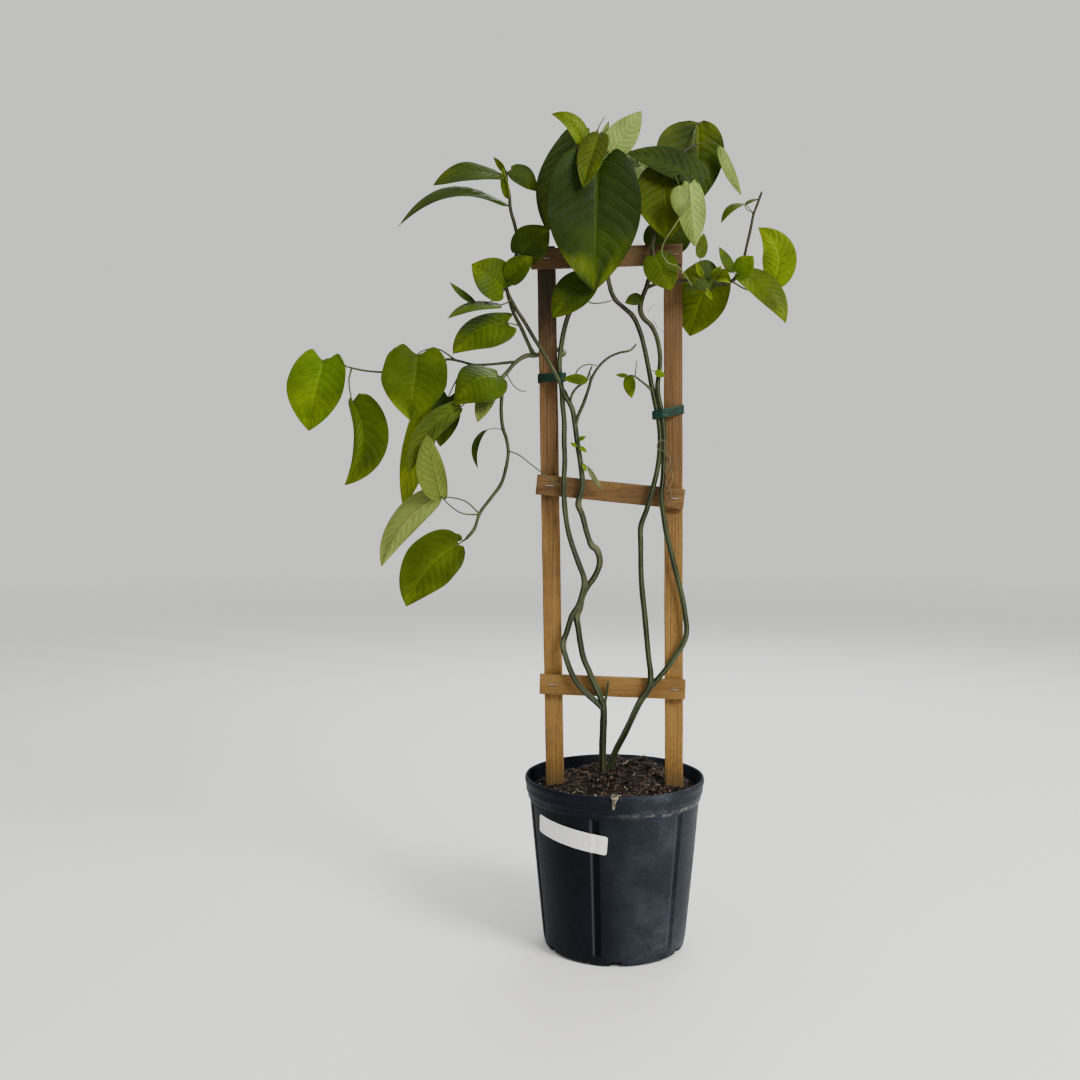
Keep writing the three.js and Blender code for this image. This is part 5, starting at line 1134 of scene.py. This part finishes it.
def soil_body():
    """A disc of crumbs on rings of radius R * share, with straight sides down to a flat bottom."""
    edge = wall_radius(SOIL_EDGE, LEDGE_LINE) - 0.6
    share, turn = np.linspace(0.012, 1, 90)[:, None], circle(220)
    x, y = edge * share * np.sin(turn), -edge * share * np.cos(turn)
    top = np.stack([x, y, soil_relief(x, y, share)], -1)
    side = [turned(turn, r, z) for r, z in SOIL_SIDE]
    return capped(np.concatenate([side, top[::-1]]),
                  [(0, 0, SOIL_SIDE[0][1]), (0, 0, soil_relief(0.0, 0.0, 0.0))])


build("soil_body", [soil_body()], [SOIL], "soil", "soil")


def ball_net():
    """The points and triangles of a ball of three rings of eight between two poles."""
    polar, turn = np.radians([42, 90, 138])[:, None], circle(8)
    ring = np.stack([np.sin(polar) * np.cos(turn), np.sin(polar) * np.sin(turn),
                     -np.cos(polar) * np.ones_like(turn)], -1)
    return capped(ring, [(0, 0, -1), (0, 0, 1)])[:2]


def scatter(count, sizes, lift, tones, seed):
    """Irregular bits lying on the soil: a ball squeezed to three half-lengths, its points pushed about,
    turned about the upright and tipped a little, and set where a seeded draw puts it."""
    draw = np.random.default_rng(seed)
    ball, faces = ball_net()
    bits = np.repeat(ball[None], count, 0) * (1 + 0.28 * draw.uniform(-1, 1, (count, len(ball), 1)))
    bits = bits * draw.uniform(*sizes, (count, 1, 3)) / 2
    spin, tip = draw.uniform(0, 2 * math.pi, count)[:, None], draw.normal(0, 0.35, count)[:, None]
    x, y, z = np.moveaxis(bits, -1, 0)
    x, z = x * np.cos(tip) - z * np.sin(tip), x * np.sin(tip) + z * np.cos(tip)
    x, y = x * np.cos(spin) - y * np.sin(spin), x * np.sin(spin) + y * np.cos(spin)
    share, turn = 0.96 * np.sqrt(draw.uniform(0, 1, count)), draw.uniform(0, 2 * math.pi, count)
    reach = (wall_radius(SOIL_EDGE, LEDGE_LINE) - 2) * share
    cx, cy = reach * np.sin(turn), reach * np.cos(turn)
    middle = np.stack([cx, cy, soil_relief(cx, cy, share) + lift], -1)[:, None]
    faces = [(f[None] + len(ball) * np.arange(count)[:, None, None]).reshape(-1, f.shape[1]) for f in faces]
    picks = np.array(tones)[draw.integers(0, len(tones), count)] * draw.uniform(0.6, 1.3, (count, 1))
    return part(np.stack([x, y, z], -1) + middle, faces, tone=np.repeat(picks, len(ball), 0))


BROWNS = [(0.012, 0.007, 0.005), (0.022, 0.013, 0.009), (0.060, 0.040, 0.026), (0.006, 0.004, 0.003)]
PALES = [(0.26, 0.21, 0.14), (0.19, 0.14, 0.09), (0.42, 0.38, 0.30)]
build("bark_bits", [
    scatter(1500, ((4, 2, 1.4), (12, 5, 3.4)), 0.4, BROWNS, 31),
    scatter(800, ((7, 1.2, 1), (19, 3, 2.2)), 0.9, BROWNS, 32),
    scatter(100, ((4, 0.9, 0.7), (11, 2.4, 1.5)), 1.6, PALES, 33),
    scatter(1400, ((1.2, 1, 0.8), (3, 2.4, 2)), 0.5, BROWNS + PALES[:1], 34),
], [BARK], "soil", smooth=False)


# Trellis

def lath(start, end, wide, thick, depth, seed):
    """A sawn lath: a rounded rectangle carried from end to end, its faces uneven by a few tenths."""
    start, end = (np.array([x, depth, z], float) for x, z in (start, end))
    length = np.linalg.norm(end - start)
    ahead = (end - start) / length
    deep = np.array([0.0, -1.0, 0.0])
    side = np.cross(ahead, deep)
    near_end = np.array([0, 0.35, 0.9, 1.8, 4])
    along = np.concatenate([near_end, np.linspace(8, length - 8, int(length / 5)), length - near_end[::-1]])
    bevel = LATH_BEVEL * np.sqrt(np.clip(1 - np.minimum(along, length - along) / LATH_BEVEL, 0, 1))
    hx, hy = wide / 2 - LATH_CORNER, thick / 2 - LATH_CORNER
    rounds = []
    for k, middle in enumerate([(hx, hy), (-hx, hy), (-hx, -hy), (hx, -hy)]):
        turn = np.linspace(0, math.pi / 2, 4) + k * math.pi / 2
        rounds.append(np.stack([np.cos(turn), np.sin(turn)], 1) * LATH_CORNER + middle)
    outline = []
    for here, after in zip(rounds, rounds[1:] + rounds[:1]):
        outline += [here, here[-1] + (after[0] - here[-1]) * np.linspace(0, 1, 8)[1:-1, None]]
    flat = np.vstack(outline) * (1 - bevel[:, None, None] / np.array([wide / 2, thick / 2]))
    x, y = side * flat[..., :1], deep * flat[..., 1:]
    points = start + ahead * along[:, None, None] + x + y
    grain = [9, 9, 60] if abs(ahead[2]) > 0.7 else [60, 9, 9]
    away = x + y
    away /= np.linalg.norm(away, axis=-1)[..., None]
    return capped(points + away * (0.22 * waves(points / grain, 1.0, seed))[..., None], [start, end])


def upright_x(place, height):
    """Where an upright's centre line is at a height."""
    return place[0] + (place[1] - place[0]) / (UPRIGHT["top"] - UPRIGHT["foot"]) * (height - UPRIGHT["foot"])


def crossing(bar, place):
    """Where a crossbar's centre line passes in front of an upright's, closed in on in three steps, and the
    bar's tilt."""
    (x0, z0), (x1, z1) = bar
    slope = (z1 - z0) / (x1 - x0)
    x = place[0]
    for _ in range(3):
        z = z0 + slope * (x - x0)
        x = upright_x(place, z)
    return x, z, math.atan(slope)


def staple(x, z, tilt):
    """A wire bent over two round corners, its legs in the wood."""
    half, bend, turn = STAPLE["crown"] / 2, STAPLE["bend"], np.linspace(0, math.pi / 2, 6)
    corner = np.stack([half - bend + bend * np.sin(turn), bend - bend * np.cos(turn)], 1)
    right = np.vstack([corner, [[half, STAPLE["leg"]]]])
    line = np.vstack([right[::-1] * [-1, 1], right])
    path = np.stack([line[:, 0] * math.cos(tilt), line[:, 1], line[:, 0] * math.sin(tilt)], 1)
    return tube(path + [x, STAPLE_DEPTH, z], np.full(len(path), STAPLE["wire"] / 2))


for seed, (side, (low, high)) in enumerate(UPRIGHTS.items(), 41):
    lean = math.atan2(high - low, UPRIGHT["top"] - UPRIGHT["foot"])
    wood = material("sawn_upright_" + side, sawn_wood((95.0, 95.0, 3.2), (0, -lean, 0), *WOOD[side]))
    build(f"upright_{side}_lath", [lath((low, UPRIGHT["foot"]), (high, UPRIGHT["top"]), UPRIGHT["wide"],
                                        UPRIGHT["thick"], 0, seed)],
          [wood], "trellis_wood", "upright_" + side)
for seed, (height, bar) in enumerate(CROSSBARS.items(), 50):
    (low_x, low_z), (high_x, high_z) = bar
    tilt = math.atan2(high_z - low_z, high_x - low_x)
    wood = material("sawn_bar_" + height, sawn_wood((3.2, 95.0, 95.0), (0, tilt, 0), *WOOD["bar"]))
    build(f"crossbar_{height}_lath", [lath(*bar, CROSSBAR["high"], CROSSBAR["thick"], BAR_DEPTH, seed)],
          [wood], "trellis_wood", "crossbar_" + height)
    for side, place in UPRIGHTS.items():
        build(f"staple_{height}_{side}_wire", [staple(*crossing(bar, place))], [WIRE], "staple_wire",
              f"staple_{height}_{side}")


# Ties

def hull(points):
    """The convex hull of points in a plane, anticlockwise."""
    points = sorted(map(tuple, points))

    def chain(run):
        kept = []
        for p in run:
            while len(kept) > 1 and ((kept[-1][0] - kept[-2][0]) * (p[1] - kept[-2][1])
                                     <= (kept[-1][1] - kept[-2][1]) * (p[0] - kept[-2][0])):
                kept.pop()
            kept.append(p)
        return kept[:-1]
    return np.array(chain(points) + chain(points[::-1]))


def tie(height, slope, stems, place, seed):
    """Tape carried round the hull of the upright and its stems: across it, the tape is a flat strip with
    rounded edges that wanders and stretches a little."""
    steps, sides = 200, 28
    centre = upright_x(place, height)
    half_wide, half_thick = UPRIGHT["wide"] / 2, UPRIGHT["thick"] / 2
    corners = [(centre + i * half_wide, j * half_thick, 0) for i in (-1, 1) for j in (-1, 1)]
    turn = circle(24)
    middle = TIE["slack"] + TIE["thick"] / 2
    ring = hull(np.vstack([np.stack([x + (r + middle) * np.cos(turn), y + (r + middle) * np.sin(turn)], 1)
                           for x, y, r in corners + stems]))
    ring = np.vstack([ring, ring[:1]])
    run = run_of(ring)
    at = np.linspace(0, run[-1], steps, endpoint=False)
    line = points_at(ring, run, at)
    ahead = np.roll(line, -1, 0) - np.roll(line, 1, 0)
    ahead /= np.linalg.norm(ahead, axis=1)[:, None]
    away = np.stack([ahead[:, 1], -ahead[:, 0]], 1)
    c, s = np.cos(circle(sides)), np.sin(circle(sides))
    across = TIE["high"] / 2 * np.sign(c) * np.abs(c) ** 0.35
    out = TIE["thick"] / 2 * np.sign(s) * np.abs(s) ** 0.5
    loop = np.stack([np.cos(at / run[-1] * 2 * math.pi), np.sin(at / run[-1] * 2 * math.pi)], 1)
    wander, pull = 0.5 * waves(loop, 1.5, seed), 1 + 0.06 * waves(loop, 0.9, seed + 1)
    crease = 0.18 * waves(np.concatenate([np.repeat(loop[:, None] * 4, sides, 1),
                                          np.repeat(across[None, :, None] / 5, steps, 0)], -1), 1.2, seed + 2)
    flat = line[:, None] + away[:, None] * (out[None, :] + crease)[..., None]
    rise = (flat[..., 0] - centre) * slope
    z = height + rise + wander[:, None] + across[None, :] * pull[:, None]
    return part(np.concatenate([flat, z[..., None]], -1), [ring_quads(steps + 1, sides) % (steps * sides)])


for seed, (side, place) in zip((60, 70), UPRIGHTS.items()):
    build(f"tie_{side}_tape", [tie(**TIES[side], place=place, seed=seed)], [TAPE], "tie_tape", "tie_" + side)


# Label

def label():
    """A rectangle with round corners laid on the pot's wall: half the height at x is high / 2 less
    c - sqrt(c^2 - d^2) within c of an end. It dips where it bridges the groove."""
    half, tall, corner = LABEL["long"] / 2, LABEL["high"] / 2, LABEL["corner"]
    near = half - corner * (1 - np.sin(np.linspace(0, math.pi / 2, 8)))[:-1]
    x = np.concatenate([-near[::-1], np.linspace(-half + corner, half - corner, 110)[1:-1], near])
    x = np.unique(np.round(np.concatenate([x, [-half + 0.02, half - 0.02]]), 4))
    d = np.clip(np.abs(x) - (half - corner), 0, corner)
    reach = tall - corner + np.sqrt(np.maximum(corner**2 - d**2, 0.01))
    along, across = np.meshgrid(x, np.linspace(-1, 1, 17), indexing="ij")
    across = across * reach[:, None]
    dip = math.radians(LABEL["slope"])
    level = LABEL["height"] - along * math.sin(dip) + across * math.cos(dip)
    wall = wall_radius(level)
    angle = math.radians(LABEL["turn"]) + (along * math.cos(dip) + across * math.sin(dip)) / wall
    off = np.degrees(angle) - GROOVE_TURN
    bridge = -0.75 * np.exp(-(off / 1.4) ** 2) + 0.35 * np.exp(-((off + 3.4) / 1.0) ** 2)
    crinkle = 0.08 * waves(np.stack([along, across], -1), 12, 81)
    front, back = (turned(angle, wall + GAP + 0.25 + out * 0.7 + bridge + crinkle, level)
                   for out in (LABEL["thick"], 0.0))
    loop = np.concatenate([front[:, ::-1], back], 1)
    return part(loop, [faces[:, ::-1] for faces in slab_quads(*across.shape)])


build("blank_label", [label()], [PAPER], "label", "label")


# Dry scrap

def scrap():
    """A curled dead leaf end over the rim: a leaf's sheet with torn edges, crumpled by two sizes of wave."""
    rows, columns = 40, 21
    a, b = np.meshgrid(np.linspace(0, 1, rows), np.linspace(-1, 1, columns), indexing="ij")
    torn = (1.15 - 0.5 * a) * (0.9 + 0.25 * waves(np.stack([a * 5, np.sign(b)], -1), 1.3, 93))
    sheet, _ = leaf_sheet(SCRAP, a * 0.92, b * torn)
    crumple = 0.7 * waves(sheet, 9, 91) + 0.35 * waves(sheet, 3.5, 92)
    up = normals_of(sheet)
    sheet = sheet + up * crumple[..., None]
    return part(out_and_back(sheet + up * 0.3, sheet - up * 0.3), slab_quads(rows, columns))


build("dry_scrap_leaf", [scrap()], [SCRAP_LEAF], "dry_scrap", "dry_scrap")


# Setting

def studio_floor(radius, sides=180):
    """A flat disc in metres: point = radius * (cos(turn), sin(turn))."""
    turn = circle(sides)
    mesh = bpy.data.meshes.new("floor")
    mesh.from_pydata(np.stack([radius * np.cos(turn), radius * np.sin(turn), 0 * turn], 1).tolist(), [],
                     [list(range(sides))])
    mesh.materials.append(material("floor_paint", floor_paint))
    return placed("floor", mesh)


studio_floor(7)


def softbox(name, place, aim, size, power, tint):
    """A square area light that looks from its place to a point."""
    light = bpy.data.lights.new(name, "AREA")
    light.size, light.energy, light.color = size, power, tint
    made = placed(name, light)
    made.location = place
    made.rotation_euler = (Vector(aim) - Vector(place)).to_track_quat("-Z", "Y").to_euler()


softbox("key", (2.0, -1.9, 2.3), (0, 0, 0.6), 1.2, 150, (1.0, 0.98, 0.94))
softbox("fill", (-2.2, -1.6, 1.2), (0, 0, 0.6), 2.0, 6, (0.97, 0.98, 1.0))
softbox("ceiling", (0, 0, 5), (0, 0, 0), 12, 380, (1.0, 1.0, 1.0))
softbox("back", (0.4, 2.2, 2.2), (0, 0, 0.7), 1.6, 45, (1.0, 1.0, 1.0))


def studio_world():
    """A pale room that lights the plant softly and is seen brighter than it lights."""
    world = bpy.data.worlds.new("studio")
    world.use_nodes = True
    s = Setup(world.node_tree)
    seen = s.add("LightPath").outputs["Is Camera Ray"]
    s.feed(world.node_tree.nodes["Background"],
           {"Color": ROOM_TONE, "Strength": s.level(seen, ROOM_LIGHT, ROOM_SEEN)})
    return world


bpy.context.scene.world = studio_world()
